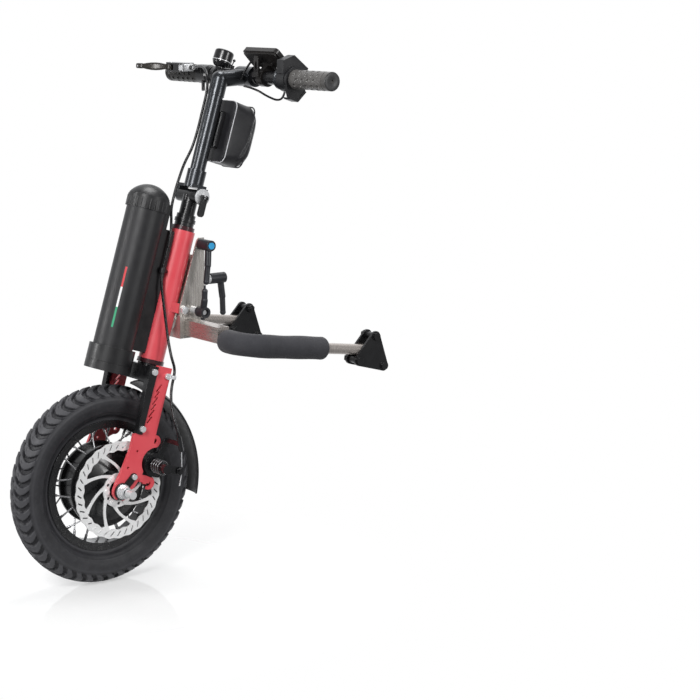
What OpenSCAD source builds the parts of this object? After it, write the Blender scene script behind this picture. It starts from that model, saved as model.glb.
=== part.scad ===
// Clip-on power unit that goes in front of a wheelchair: hub-motor wheel, fork, battery, handlebar and
// the arms that dock it to the chair. The origin is where the tyre meets the ground. +X is the rider's
// left, -Y is forward and +Z is up.

/* [Wheel] */
// Outer diameter of the tyre
tyre_d = 326; // [322:2:334]
// Width of the tyre
tyre_w = 57; // [53:1:59]
// Thickness of the tyre's casing
tyre_wall = 6; // [4:0.5:8]
// Diameter of the rim at its flanges
rim_d = 215; // [211:1:217]
// Diameter of the rim's bead seat
bead_seat_d = 203; // [201:1:205]
// Diameter of the rim's inner face
rim_bed_d = 190; // [188:1:194]
// Width of the rim
rim_w = 34; // [30:1:38]
// Number of spokes
spoke_count = 36; // [24:4:40]
// Diameter of a spoke
spoke_d = 2.6; // [2:0.2:3]

/* [Motor and brake disc] */
// Diameter of the hub's spoke flanges
hub_flange_d = 136; // [130:2:142]
// Diameter of the hub's drum
hub_drum_d = 124; // [120:1:128]
// Width of the hub's drum
hub_drum_w = 60; // [56:1:64]
// Diameter of the magnet ring's air gap
air_gap_d = 106; // [102:1:108]
// Diameter of the brake disc
disc_d = 160; // [156:1:162]
// Thickness of the brake disc
disc_t = 2; // [1.8:0.1:2.4]
// Distance of the disc's middle plane from the wheel's middle plane
disc_x = 52; // [50.5:0.5:53]
// Diameter of the axle at its bearings
axle_d = 15; // [13:1:16]
// Length of the axle between its cap nuts
axle_len = 168; // [160:2:176]

/* [Fork] */
// Lean of the steering axis from the vertical, in degrees
lean = 17.4; // [16.4:0.2:18.4]
// Distance of the axle in front of the steering axis
fork_offset = 37; // [35:1:39]
// Thickness of a fork plate
plate_t = 5; // [4:0.5:6]
// Clear width between the fork plates
plate_gap = 116; // [116:1:122]
// Clear space between the tyre and the fork crown
crown_gap = 15; // [13:1:20]
// Height of the fork crown
crown_h = 26; // [22:1:30]

/* [Head tube and steering stack] */
// Outer diameter of the head tube
tube_d = 42; // [40:0.5:42]
// Wall of the head tube
tube_wall = 3; // [2:0.25:3.5]
// Length of the head tube
tube_len = 217; // [212:1:230]
// Diameter of the steerer tube
steerer_d = 28.6; // [25.4:0.2:28.6]
// Height of the stack of rings above the head tube
stack_h = 27; // [22:1:30]
// Height of the neck under the tilt barrel
neck_h = 21; // [17:1:26]
// Diameter of the neck under the tilt barrel
neck_d = 26; // [24:1:30]
// Diameter of the tilt barrel
barrel_d = 22; // [18:1:24]
// Length of the tilt barrel
barrel_len = 61; // [57:1:65]

/* [Handlebar] */
// Diameter of the stem tube
stem_d = 25.4; // [24:0.2:28]
// Height of the handlebar above the tilt barrel
bar_up = 217; // [197:2:237]
// Distance of the handlebar behind the stem tube
bar_back = 53.7; // [48:0.5:60]
// Diameter of the handlebar
bar_d = 22.2; // [22.2:0.1:23.2]
// Length of the handlebar with its grips
bar_len = 452; // [440:2:500]
// Length of a grip
grip_len = 94; // [84:2:94]
// Diameter of a grip
grip_d = 31; // [28:1:34]

/* [Battery] */
// Diameter of the battery case
case_d = 65; // [61:1:66]
// Wall of the battery case
case_wall = 2.5; // [1.5:0.25:3]
// Distance of the battery in front of the steering axis
battery_out = 78.5; // [78:0.5:84]
// Length of the battery from its foot to the top of its dome
battery_len = 309; // [289:2:329]

/* [Docking gear] */
// Outside width of the dock channel
channel_w = 50; // [49:0.5:54]
// Thickness of the channel's steel
channel_t = 3; // [2:0.5:3]
// Height of the channel above the pivot
channel_up = 116; // [110:1:126]
// Depth of an arm's bar, front to back
arm_bar_w = 22; // [18:1:24]
// Height of an arm's bar
arm_bar_h = 26; // [20:1:28]
// Distance of an arm's rear run from the middle
arm_reach = 178; // [170:1:190]
// Diameter of an arm's tube
arm_tube_d = 18; // [16:1:20]
// Outer diameter of the foam sleeves
foam_d = 38; // [34:1:42]
// Length of a clamping lever
lever_len = 64; // [56:1:66]

/* [Hidden] */
$fn = 48;

// Clearances: a shaft in its bearing, a piece seated in its place, and two pieces that pass each other
run_fit = 0.05;
seat_fit = 0.1;
pass_gap = 0.3;

// Wheel
wheel_r = tyre_d / 2;
bead_half = rim_w / 2 - 3;
tyre_mid_r = wheel_r - tyre_w / 2;
bearing_d = axle_d + 20;
bearing_w = 11;
bearing_x = hub_drum_w / 2 - 1.5;
drum_r = hub_drum_d / 2;
magnet_r = drum_r - 5;
disc_in_x = disc_x - disc_t / 2;
disc_out_x = disc_x + disc_t / 2;
disc_seat_d = 58;
disc_bolt_pcd = 44;
disc_bolt_count = 6;

// Steering axis: local Z runs up the axis and local Y points back and down from it
axis_y = fork_offset / cos(lean);
axle_y = -fork_offset;
axle_z = -fork_offset * tan(lean);
crown_z = axle_z + wheel_r + crown_gap;
crown_top = crown_z + crown_h;
tube_z = crown_top + 10.6;
tube_top = tube_z + tube_len;
stack_top = tube_top + stack_h;
barrel_z = stack_top + neck_h + barrel_d / 2;
cup_h = 7;
cup_d = tube_d + 3;
upper_cup_d = tube_d - 4;
tube_bore_d = tube_d - 2 * tube_wall;
knuckle_half = barrel_len / 2 - 5;
tilt_bolt_d = 8;

// Fork plates
plate_x = plate_gap / 2;
plate_out_x = plate_x + plate_t;
plate_front = -27;
plate_rear = 1.5;
plate_top = crown_top + 4.6;
shoulder_z = 84;
strut_t = 2.5;
strut_top_y = -39;
strut_low_y = -33.5;
strut_lip = 11;
strut_bolt_top = [-32.5, crown_z + 19];
strut_bolt_low = [-29, shoulder_z + 8.5];
crown_bolt = [-4, crown_z + 17];
fork_clip = [68.5, 4.5, plate_top - 13];
torque_bolt = [axle_y + 14.6, axle_z + 26.3];
torque_t = 3;
washer_t = 2;
nut_h = 10;

// Caliper: the middle of its pads, its arm, the cable stop and the wire that pulls the arm
notch_c = [12, 43];
pad_c = [11, 39.5];
caliper_in_x = disc_x - 12;
caliper_out_x = plate_x - 0.5;
actuator_x = plate_out_x + 3;
actuator_d = 38;
cable_arm_x = actuator_x + 30;
cable_arm_t = 4;
cable_arm_len = 26;
wire_d = 1.6;
cable_x = cable_arm_x + cable_arm_t + wire_d / 2 + 0.2;
cable_stop = [25, 83];
stop_lean = 27.5;
stop_half = 12;
stop_up = [0, -sin(stop_lean), cos(stop_lean)];
stop_c = [cable_x, cable_stop[0], cable_stop[1]];
clamp_bolt_at = pad_c + [cable_arm_len, 1.5];
bracket_t = 2.7;

// Handlebar: its axis seen from the steering axis, with world directions again
bar_z = barrel_z + bar_up;
bar_r = bar_d / 2;
centre_d = bar_d + 3.2;
elbow_d = stem_d + 2.4;
grip_x = bar_len / 2 - grip_len;
lever_pivot = [-32, -43, 12];
lever_tip = [-108, -63, 11];
throttle_x = grip_x - 27;
throttle_w = 20;
paddle_x = throttle_x + throttle_w + pass_gap;
display_c = [throttle_x - 58, 2, 31.5];
display_size = [91, 38, 11];
display_tilt = 46;
bell_x = 45 - grip_x;
bell_d = 33;
bell_low = 21;
bell_h = 22;
bell_tilt = 22;
striker_at = [19, 9, 18.5];

// Battery, along the steering axis
battery_z = crown_z + 2.6;
battery_top = battery_z + battery_len;
foot_d = case_d + 11;
foot_h = 40;
cap_d = case_d + 5.5;
cap_z = battery_top - 41;
cap_ring_h = 20;
rail_w = 16;

// Dock: the pivot sits just behind the head tube, and the channel stands upright from it
pivot_up = tube_z + 91;
pivot_back = tube_d / 2 + 1.3;
pivot_y = axis_y + pivot_back * cos(lean) + pivot_up * sin(lean);
pivot_z = wheel_r - pivot_back * sin(lean) + pivot_up * cos(lean);
pivot_d = 8;
lug_r = 7;
channel_half = channel_w / 2;
channel_back = 42;
channel_low = -9;
socket_half = channel_half + 1;
socket_front = -8;
socket_back = 33;
bar_front = 2;
socket_wall = 4;
arm_mid_y = bar_front + arm_bar_w / 2;
arm_bar_z = -9 - 8 - arm_bar_h / 2;
upper_stud = [33, 106];
lower_stud = [19, -2];
rear_stud_z = 42;
stud_d = 8;
hub_d = 18;
hub_len = 30;
button_d = 11;

// Arms: a bar out of the socket, then a tube that bends back and down
arm_drop = 8;
arm_in_x = 6;
arm_flange_x = 119;
arm_tube_z = arm_bar_z - 8.5;
arm_bend_r = 36;
arm_tube_len = 258;
foam_start_x = arm_flange_x + 2.5;
foam_end_y = 162;
clamp_t = 4;
clamp_gap = arm_tube_d + 2 * seat_fit;
clamp_pad_r = 9;
clamp_bolts = [[228, -17], [282, -24], [258, 24]];
clamp_bolt_d = 8;

// Brake cable, seen from the steering axis, in two stretches that meet in the clip on the head tube
clip_point = [14, -29, tube_top - 72];
cable_d = 4.6;
upper_route = [[28 - grip_x, 14, bar_z], [-0.682 * grip_x, 9, bar_z + 1], [-0.545 * grip_x, 2, bar_z + 1],
    [-50, -5, bar_z - 2], [-30, -10, bar_z - 10], [-17, -12, bar_z - 24], [-13.6, -9.8, bar_z - 46],
    [-13, -9.6, bar_z - 80], [-13, -9.8, barrel_z + 103], [-13.5, -12, barrel_z + 76],
    [-14, -18, barrel_z + 51], [-11, -23, barrel_z + 31], [-7, -28, barrel_z], [-1, -31, barrel_z - 29],
    [7, -31, barrel_z - 49], [13, -30, tube_top - 12], [14, -29, tube_top - 40], clip_point + [0, 0, 4]];
lower_route = [clip_point - [0, 0, 4], [17, -26, tube_z + 0.558 * tube_len], [22, -18, tube_z + 0.438 * tube_len],
    [29, -9, tube_z + 0.3 * tube_len], [38, -2, tube_z + 0.17 * tube_len], [50, 3, tube_z + 0.06 * tube_len],
    [61, 5, plate_top + 5], [67, 4.5, plate_top - 4], [68.5, 4.5, plate_top - 13], [69.5, 4.3, plate_top - 25],
    [73, 4, 158], [79.5, 4.5, 143], [88, 6.5, 129], [95.5, 10, 114], [100, 14.5, 103], [101, 19.3, 93.9]];
// Leads under the bar, seen from the middle of the handlebar
lead_in = 20;
lead_run = throttle_x + 4 - lead_in;
throttle_lead = [[lead_in + lead_run, -5.6, -20.95], [lead_in + 0.989 * lead_run, -9, -29],
    [lead_in + 0.92 * lead_run, -10, -33], [lead_in + 0.787 * lead_run, -9, -34], [lead_in + 0.63 * lead_run, -8, -32],
    [lead_in + 0.45 * lead_run, -8, -28], [lead_in + 0.27 * lead_run, -10, -22], [lead_in + 0.112 * lead_run, -16, -17],
    [lead_in, -23, -14]];
display_lead = [[display_c[0] - 18, -15, 25], [display_c[0] - 22, -19, 17], [19, -22, 6], [15, -25, -5]];
lead_d = 3.6;

// Frames and simple shapes
module in_steer() { translate([0, axis_y, wheel_r]) rotate([-lean, 0, 0]) children(); }
module at_axle() { translate([0, 0, wheel_r]) children(); }
module at_bar() { in_steer() translate([0, bar_back, bar_z]) rotate([lean, 0, 0]) children(); }
module at_perch() { at_bar() translate([-grip_x, 0, 0]) children(); }
module at_dock() { translate([0, pivot_y, pivot_z]) children(); }
module at_arm() { at_dock() translate([0, arm_mid_y, arm_tube_z]) rotate([-arm_drop, 0, 0]) children(); }
module both_sides() {
    children();
    mirror([1, 0, 0]) children();
}

// A round bar along X from x0 to x1, a revolved outline of radius and X, and a flat plate across X
module across(x0, x1, d) { translate([x0, 0, 0]) rotate([0, 90, 0]) cylinder(d = d, h = x1 - x0); }
module spin_across() { rotate([0, 90, 0]) rotate_extrude($fn = 96) children(); }
module plate_across(x0, t) { translate([x0, 0, 0]) rotate([90, 0, 90]) linear_extrude(t) children(); }
module block(low, high) { translate(low) cube(high - low); }

// A straight rod between two points
module rod(p, q, d) {
    v = q - p;
    translate(p) rotate([0, acos(v[2] / norm(v)), atan2(v[1], v[0])]) cylinder(d = d, h = norm(v));
}

// Outline of a rounded plate round a list of points that runs anticlockwise
function unit(v) = v / norm(v);
function right_of(v) = [v[1], -v[0]];
function pad_points(pts, r) = [for (i = [0 : len(pts) - 1])
    let (a = pts[i], b = pts[(i + 1) % len(pts)], n = r * right_of(unit(b - a))) each [a + n, b + n]];
module pad_outline(pts, r) {
    polygon(pad_points(pts, r));
    for (p = pts) translate(p) circle(r);
}
module rounded_box_outline(low, high, r) {
    pad_outline([low + [r, r], [high[0] - r, low[1] + r], high - [r, r], [low[0] + r, high[1] - r]], r);
}

// A tube swept along points, which a smooth curve joins
function curve_at(p, i, t) =
    let (n = len(p) - 1, a = p[max(i - 1, 0)], b = p[i], c = p[min(i + 1, n)], d = p[min(i + 2, n)])
    0.5 * (2 * b + t * (c - a) + t * t * (2 * a - 5 * b + 4 * c - d) + t * t * t * (3 * b - 3 * c + d - a));
function smooth_path(p, steps) = concat(
    [for (i = [0 : len(p) - 2], s = [0 : steps - 1]) curve_at(p, i, s / steps)], [p[len(p) - 1]]);
function path_tangent(p, i) = unit(p[min(i + 1, len(p) - 1)] - p[max(i - 1, 0)]);
function path_normals(p, i, last) = i == len(p) ? [] :
    let (t = path_tangent(p, i), n = unit(last - (last * t) * t)) concat([n], path_normals(p, i + 1, n));
module swept_tube(p, d, sides) {
    first = unit(cross(path_tangent(p, 0), [0.31, 0.87, 0.39]));
    normals = path_normals(p, 0, first);
    rings = [for (i = [0 : len(p) - 1]) let (t = path_tangent(p, i), n = normals[i], b = cross(t, n))
        each [for (k = [0 : sides - 1]) p[i] + d / 2 * (cos(360 * k / sides) * n + sin(360 * k / sides) * b)]];
    walls = [for (i = [0 : len(p) - 2], k = [0 : sides - 1]) let (m = (k + 1) % sides)
        each [[i * sides + k, (i + 1) * sides + k, i * sides + m],
            [i * sides + m, (i + 1) * sides + k, (i + 1) * sides + m]]];
    start = [for (k = [1 : sides - 2]) [0, k, k + 1]];
    end_at = (len(p) - 1) * sides;
    finish = [for (k = [1 : sides - 2]) [end_at, end_at + k + 1, end_at + k]];
    polyhedron(points = rings, faces = concat(walls, start, finish));
}

// Wheel: tyre, rim and spokes
module tyre() {
    color("#232323") at_axle() spin_across() difference() {
        union() {
            translate([tyre_mid_r, 0]) circle(d = tyre_w);
            translate([bead_seat_d / 2 + seat_fit, -bead_half + seat_fit])
                square([tyre_mid_r - bead_seat_d / 2, 2 * (bead_half - seat_fit)]);
        }
        translate([tyre_mid_r, 0]) circle(d = tyre_w - 2 * tyre_wall);
        translate([0, -bead_half + 5]) square([tyre_mid_r, 2 * bead_half - 10]);
    }
}

module rim() {
    color("#1c1c1c") at_axle() difference() {
        spin_across() difference() {
            translate([rim_bed_d / 2, -rim_w / 2]) square([(rim_d - rim_bed_d) / 2, rim_w]);
            translate([bead_seat_d / 2, -bead_half]) square([rim_d, 2 * bead_half]);
            translate([rim_bed_d / 2 + 3, -bead_half + 6]) square([rim_d, 2 * bead_half - 12]);
        }
        rotate([spoke_turn / 2, 0, 0]) cylinder(d = 8, h = rim_d);
    }
}

spoke_turn = 360 / spoke_count;
spoke_lace = 7;
module spokes() {
    color("#2b2b2b") at_axle() for (i = [0 : spoke_count - 1]) {
        side = i % 2 == 0 ? 1 : -1;
        lace = floor(i / 2) % 2 == 0 ? spoke_lace : -spoke_lace;
        hub_a = (i + 0.5) * spoke_turn + 0.5 * lace;
        rim_a = (i + 0.5) * spoke_turn - 0.5 * lace;
        hub_r = hub_flange_d / 2 - 3;
        seat_r = rim_bed_d / 2 + 1.5;
        hub_end = [side * 17, hub_r * sin(hub_a), hub_r * cos(hub_a)];
        rim_end = [side * 3, seat_r * sin(rim_a), seat_r * cos(rim_a)];
        rod(hub_end, rim_end, spoke_d);
        rod(rim_end + 11 * unit(hub_end - rim_end), rim_end, spoke_d + 1.8);
    }
}

// Motor: shell with its spoke flanges, cover, magnets, bearings, stator and axle
module hub_shell() {
    half = hub_drum_w / 2;
    color("#202020") at_axle() spin_across() difference() {
        union() {
            translate([0, -half]) square([drum_r, 2 * half - 6]);
            translate([0, -half - 9]) square([bearing_d / 2 + 5, 10]);
            for (x = [-17, 17]) translate([0, x - 2]) square([hub_flange_d / 2, 4]);
        }
        translate([0, -half + 4]) square([magnet_r, 2 * half]);
        translate([0, -bearing_x - bearing_w]) square([bearing_d / 2 + seat_fit / 2, bearing_w + 10]);
        translate([0, -half - 20]) square([axle_d / 2 + 2, 40]);
    }
}

module hub_cover() {
    half = hub_drum_w / 2;
    color("#262626") at_axle() difference() {
        spin_across() difference() {
            union() {
                translate([0, half - 6]) square([drum_r, 5]);
                polygon([[0, half - 2], [drum_r - 4, half - 2], [disc_seat_d / 2 + 2, half + 6],
                    [disc_seat_d / 2, disc_in_x], [0, disc_in_x]]);
            }
            translate([0, bearing_x]) square([bearing_d / 2 + seat_fit / 2, bearing_w]);
            translate([0, 0]) square([bearing_d / 2 - 3, half]);
            translate([0, half - 10]) square([axle_d / 2 + 2, 60]);
        }
        for (i = [0 : disc_bolt_count - 1]) rotate([60 * i, 0, 0])
            translate([0, disc_bolt_pcd / 2, 0]) across(disc_in_x - 9, disc_in_x + 1, 5.2);
    }
}

module motor_magnets() {
    color("#9a9aa0") at_axle() translate([-16, 0, 0]) rotate([0, 90, 0]) linear_extrude(32) difference() {
        circle(r = magnet_r - seat_fit / 2, $fn = 96);
        circle(d = air_gap_d + 1.4, $fn = 96);
        for (i = [0 : 31]) rotate(i * 11.25) translate([0, -0.6]) square([magnet_r + 5, 1.2]);
    }
}

module hub_bearings() {
    color("#c8c8c8") at_axle() both_sides() difference() {
        across(bearing_x, bearing_x + bearing_w, bearing_d);
        across(bearing_x - 1, bearing_x + bearing_w + 1, axle_d + 2 * run_fit);
    }
}

module motor_stator() {
    stator_r = air_gap_d / 2;
    color("#8d7a62") at_axle() translate([-15, 0, 0]) rotate([0, 90, 0]) linear_extrude(30) difference() {
        union() {
            difference() {
                circle(r = stator_r, $fn = 96);
                circle(r = stator_r - 22);
                for (i = [0 : 23]) rotate(i * 15) {
                    translate([stator_r - 12, -2.6]) square([9, 5.2]);
                    translate([stator_r - 5, -1]) square([9, 2]);
                }
            }
            circle(d = axle_d + 14);
            for (i = [0 : 5]) rotate(i * 60) translate([0, -4]) square([stator_r - 21, 8]);
        }
        circle(d = axle_d + 2 * seat_fit);
    }
}

module axle() {
    end_x = axle_len / 2;
    color("#b9bcc0") in_steer() translate([0, axle_y, axle_z]) {
        across(-plate_x, plate_x, axle_d);
        both_sides() {
            intersection() {
                across(plate_x, end_x, axle_d - 3);
                translate([0, -5, -axle_d]) cube([end_x + 1, 10, 2 * axle_d]);
            }
            across(end_x, end_x + 13, 13);
        }
    }
}

// Brake disc with curved arms, slanted slots and a waved edge, and its bolts
function wave_points(r, wave, waves, steps) =
    [for (i = [0 : steps - 1]) let (a = 360 * i / steps) (r + wave * cos(waves * a)) * [cos(a), sin(a)]];
disc_arm_in_r = disc_seat_d / 2 - 5;
disc_arm_out_r = disc_d / 2 - 14;
disc_arm_sweep = 44;
function disc_arm_mid(t) = let (r = disc_arm_in_r + (disc_arm_out_r - disc_arm_in_r) * t,
    a = disc_arm_sweep * (t * (1.55 - 0.55 * t) - 1)) r * [cos(a), sin(a)];
function disc_arm_side(t, w) = let (d = unit(disc_arm_mid(t + 0.02) - disc_arm_mid(t - 0.02)))
    disc_arm_mid(t) + w * right_of(d);
function disc_arm_points() = concat(
    [for (k = [0 : 8]) disc_arm_side(k / 8, 2.2 + 2.4 * pow(abs(k / 4 - 1), 4))],
    [for (k = [8 : -1 : 0]) disc_arm_side(k / 8, -2.2 - 2.4 * pow(abs(k / 4 - 1), 4))]);
module brake_rotor() {
    outer_r = disc_d / 2;
    arm_count = 8;
    color("#c9ccce") at_axle() {
        translate([disc_in_x, 0, 0]) rotate([0, 90, 0]) linear_extrude(disc_t) difference() {
            union() {
                difference() {
                    polygon(wave_points(outer_r - 0.8, 0.8, 24, 192));
                    polygon(wave_points(outer_r - 15.5, 1, 24, 192));
                }
                difference() {
                    circle(r = disc_seat_d / 2 - 1);
                    circle(r = 17);
                }
                for (i = [0 : arm_count - 1]) rotate(25 + i * 360 / arm_count) polygon(disc_arm_points());
            }
            for (i = [0 : 35]) rotate(i * 10) translate([outer_r - 8, 0]) rotate(-38)
                translate([-5, -1.1]) square([10, 2.2]);
            for (i = [0 : disc_bolt_count - 1]) rotate(i * 60) translate([disc_bolt_pcd / 2, 0]) circle(2.6);
        }
        for (i = [0 : disc_bolt_count - 1]) rotate([60 * i, 0, 0]) translate([0, disc_bolt_pcd / 2, 0]) {
            across(disc_out_x, disc_out_x + 2.4, 8.5);
            across(disc_in_x - 8, disc_out_x, 5);
        }
    }
}

// Fork: crown, side plates, struts and fasteners
module fork_crown() {
    half = plate_gap / 2;
    color("#1a1a1a") in_steer() difference() {
        union() {
            block([-half, -31, crown_z], [half, plate_rear, crown_top]);
            both_sides() block([half - 9, -38, crown_z + 9], [half, -30, crown_top]);
            translate([0, 0, crown_z]) cylinder(d = steerer_d + 16, h = crown_h);
            translate([0, 0, crown_top]) cylinder(d = cup_d - 5, h = 3);
        }
        translate([0, 0, crown_z - 1]) cylinder(d = steerer_d + 2 * seat_fit, h = crown_h + 10);
        for (p = [crown_bolt, strut_bolt_top], s = [-1, 1])
            translate([0, p[0], p[1]]) across(s * half - 20, s * half + 20, 6.4);
    }
}

module plate_slots() {
    low = shoulder_z + 24;
    for (i = [0 : 5]) translate([plate_front + 9 + 0.6 * i, low + 10.5 * i]) rotate(62)
        pad_outline([[-4 - i % 2, 0], [6 + i % 2, 0]], 1.6);
}

module fork_plate_outline() {
    difference() {
        union() {
            translate([plate_front, shoulder_z - 30]) square([plate_rear - plate_front, plate_top - shoulder_z + 30]);
            translate(strut_bolt_low - [4.2, 8.5]) square([9, 18]);
            translate(strut_bolt_top - [5, 9]) square([12, 18]);
            polygon([[plate_rear - 1.5, shoulder_z + 4], [plate_front, shoulder_z + 2], [-41, shoulder_z - 2],
                [-40.5, 58], [-46, 24], [axle_y - 15.5, axle_z + 8], [axle_y - 14, axle_z - 8], [axle_y, axle_z - 8],
                [-16, axle_z + 8], [-6, 20], [-4, 48], [0, 64]]);
            translate([axle_y, axle_z]) circle(16);
            translate([-9, 8]) square([20, 12]);
            difference() {
                translate([10, 9]) circle(11);
                translate([10, 7.5]) circle(4.4);
                translate([-1, -6]) square([10, 12]);
            }
            difference() {
                translate([3, 76.5]) circle(10.5);
                translate([3.5, 77]) circle(3.8);
                translate([-6, 77]) square([9, 5]);
            }
        }
        translate(notch_c) circle(24.5);
        translate([axle_y, axle_z]) circle(d = axle_d - 3 + 2 * seat_fit);
        translate([axle_y - 5.1, axle_z - 30]) square([10.2, 30]);
        for (p = [[-26, 56], [-36, 27]]) translate(p) circle(2);
        for (p = [crown_bolt, strut_bolt_top, strut_bolt_low, torque_bolt]) translate(p) circle(3.2);
        plate_slots();
    }
}

module fork_plates() {
    color("#e8525a") in_steer() both_sides() plate_across(plate_x, plate_t) fork_plate_outline();
}

module fork_struts() {
    low = strut_bolt_low - [0, 9];
    high_z = plate_top - 2;
    color("#161616") in_steer() both_sides() {
        plate_across(plate_out_x, strut_t) difference() {
            polygon([[strut_low_y, low[1]], [plate_front + 1, low[1]], [plate_front + 1, high_z],
                [strut_top_y, high_z]]);
            translate(strut_bolt_low) circle(3.2);
            translate(strut_bolt_top) circle(3.2);
        }
        plate_across(plate_out_x + strut_t - strut_lip, strut_lip - strut_t) polygon([[strut_low_y - 2.5, low[1]],
            [strut_low_y, low[1]], [strut_top_y, high_z], [strut_top_y - 2.5, high_z]]);
        plate_across(plate_out_x, strut_t) polygon([[strut_low_y - 2.5, low[1]], [strut_low_y, low[1]],
            [strut_top_y, high_z], [strut_top_y - 2.5, high_z]]);
        torque_plate();
    }
}

module torque_plate() {
    plate_across(plate_out_x, torque_t) difference() {
        union() {
            pad_outline([[axle_y, axle_z], torque_bolt], 6);
            translate([axle_y, axle_z]) circle(14);
        }
        translate([axle_y, axle_z]) circle(d = axle_d - 3 + 2 * seat_fit);
        translate(torque_bolt) circle(3.2);
    }
}

module side_bolt(p, head_x, shank_x, head_d, head_h) {
    translate([0, p[0], p[1]]) {
        across(head_x, head_x + head_h, head_d);
        across(shank_x, head_x, 6);
    }
}

module fork_fasteners() {
    color("#c4c6c8") in_steer() {
        fork_cable_clip();
        both_sides() fork_side_fasteners();
    }
}

module fork_cable_clip() {
    difference() {
        union() {
            translate(fork_clip - [0, 0, 3]) cylinder(d = cable_d + 4, h = 6);
            block([plate_out_x, plate_rear - 6, fork_clip[2] - 3], [fork_clip[0] - 3, fork_clip[1] - 2, fork_clip[2] + 3]);
        }
        translate(fork_clip - [0, 0, 10]) cylinder(d = cable_d + 1.6, h = 20);
        translate([0, crown_bolt[0], crown_bolt[1]]) across(plate_x, plate_x + 40, 10.6);
    }
}

module fork_side_fasteners() {
    translate([0, axle_y, axle_z]) {
        difference() {
            union() {
                across(plate_out_x + torque_t, plate_out_x + torque_t + washer_t, 24);
                translate([plate_out_x + torque_t + washer_t, 0, 0]) rotate([0, 90, 0])
                    cylinder(d = 21, h = nut_h, $fn = 6);
            }
            across(plate_x, plate_x + 40, axle_d - 3 + 2 * seat_fit);
        }
    }
    side_bolt(strut_bolt_top, plate_out_x + strut_t, plate_x - 8, 10, 4);
    side_bolt(strut_bolt_low, plate_out_x + strut_t, plate_x, 10, 4);
    side_bolt(crown_bolt, plate_out_x, plate_x - 18, 10, 4);
    side_bolt(torque_bolt, plate_out_x + torque_t, plate_x, 9, 3);
}

// Rear mudguard, an arched strip that follows the tyre
guard_r = wheel_r + 17;
guard_half = 30;
guard_sag = 8;
guard_arc_r = (guard_half * guard_half + guard_sag * guard_sag) / (2 * guard_sag);
guard_t = 2.5;
guard_low = -13;
guard_high = 63;
module mudguard() {
    color("#151515") {
        at_axle() rotate([guard_low + 90, 0, 0]) rotate([0, 90, 0])
            rotate_extrude(angle = guard_high - guard_low, $fn = 96) intersection() {
                translate([guard_r - guard_arc_r, 0]) difference() {
                    circle(r = guard_arc_r, $fn = 96);
                    circle(r = guard_arc_r - guard_t, $fn = 96);
                }
                translate([guard_r - guard_sag - 5, -guard_half]) square([20, 2 * guard_half]);
            }
        in_steer() block([-10, -5, crown_z - 3], [10, 1.5, crown_z]);
    }
}

// Disc caliper
module caliper_body() {
    color("#1b1b1b") in_steer() {
        difference() {
            union() {
                block([caliper_in_x, pad_c[0] - 14, pad_c[1] - 20], [caliper_out_x, pad_c[0] + 20, pad_c[1] + 20]);
                translate([0, pad_c[0], pad_c[1]]) across(caliper_in_x - 3, actuator_x, actuator_d);
                plate_across(disc_out_x + 1.2, plate_x - disc_out_x - 1.2) {
                    rounded_box_outline(notch_c + [-14, 15], notch_c + [1, 41], 5);
                    rounded_box_outline(notch_c + [-10, -41], notch_c + [5, -15], 5);
                }
                cable_bracket();
            }
            translate([0, axle_y, axle_z]) across(disc_in_x - 1, disc_out_x + 1, disc_d + 6);
            block([disc_in_x - 3.6, pad_c[0] - 13, pad_c[1] - 13], [disc_out_x + 3.6, pad_c[0] + 13, pad_c[1] + 13]);
            rod(stop_c - 15 * stop_up, stop_c + 15 * stop_up, wire_d + 0.8);
        }
        both_pads();
    }
}

// Bracket that carries the cable adjuster beside the arm
module cable_bracket() {
    plate_across(actuator_x - bracket_t, bracket_t) pad_outline([cable_stop - [1, 1], pad_c + [4, 10]], 6);
    block([actuator_x - bracket_t, cable_stop[0] - 4, cable_stop[1] - 3.5],
        [cable_x + 2, cable_stop[0] + 4, cable_stop[1] + 3.5]);
    rod(stop_c - stop_half * stop_up, stop_c + stop_half * stop_up, 8);
}

module both_pads() {
    for (x = [disc_in_x - 3.5, disc_out_x + pass_gap])
        block([x, pad_c[0] - 12, pad_c[1] - 12], [x + 3.5 - pass_gap, pad_c[0] + 12, pad_c[1] + 12]);
}

// Arm on its spindle, with the bolt and washer that hold the wire against its outer face
module caliper_arm() {
    washer_x = cable_x + wire_d / 2 + 0.2;
    color("#3a3a3a") in_steer() {
        translate([0, pad_c[0], pad_c[1]]) {
            across(actuator_x + pass_gap, cable_arm_x, 13);
            across(cable_arm_x - 2, cable_arm_x + cable_arm_t + 4, 16);
        }
        plate_across(cable_arm_x, cable_arm_t) pad_outline([pad_c, clamp_bolt_at], 6);
        translate([0, clamp_bolt_at[0], clamp_bolt_at[1]]) {
            across(cable_arm_x - 3, washer_x, 5.4);
            across(washer_x, washer_x + 1.2, 13);
            translate([washer_x, 0, 0]) rotate([0, 90, 0]) cylinder(d = 9, h = 4, $fn = 6);
        }
    }
}

// Return spring round the arm's spindle, with its ends turned square to the actuator and the arm
spring_curls = 7;
spring_wire = 2.4;
spring_d = 21;
spring_rings = 8;
spring_low = actuator_x + pass_gap;
spring_high = cable_arm_x - pass_gap;
spring_pitch = (spring_high - spring_low - 2 * spring_wire) / spring_curls;
function spring_point(x, a) = [x, spring_d / 2 * cos(a), spring_d / 2 * sin(a)];
spring_turns = [for (i = [0 : spring_curls * spring_rings]) let (a = 360 * i / spring_rings)
    spring_point(spring_low + spring_wire + spring_pitch * a / 360, a)];
spring_path = concat([spring_point(spring_low, 0)], spring_turns, [spring_point(spring_high, 0)]);
spring_gap = min([for (i = [0 : len(spring_turns) - 1 - spring_rings])
    norm(spring_turns[i + spring_rings] - spring_turns[i])]) - spring_wire;
echo(least_spring_gap = spring_gap);
module caliper_spring() {
    color("#202020") in_steer() translate([0, pad_c[0], pad_c[1]]) swept_tube(spring_path, spring_wire, 6);
}

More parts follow.
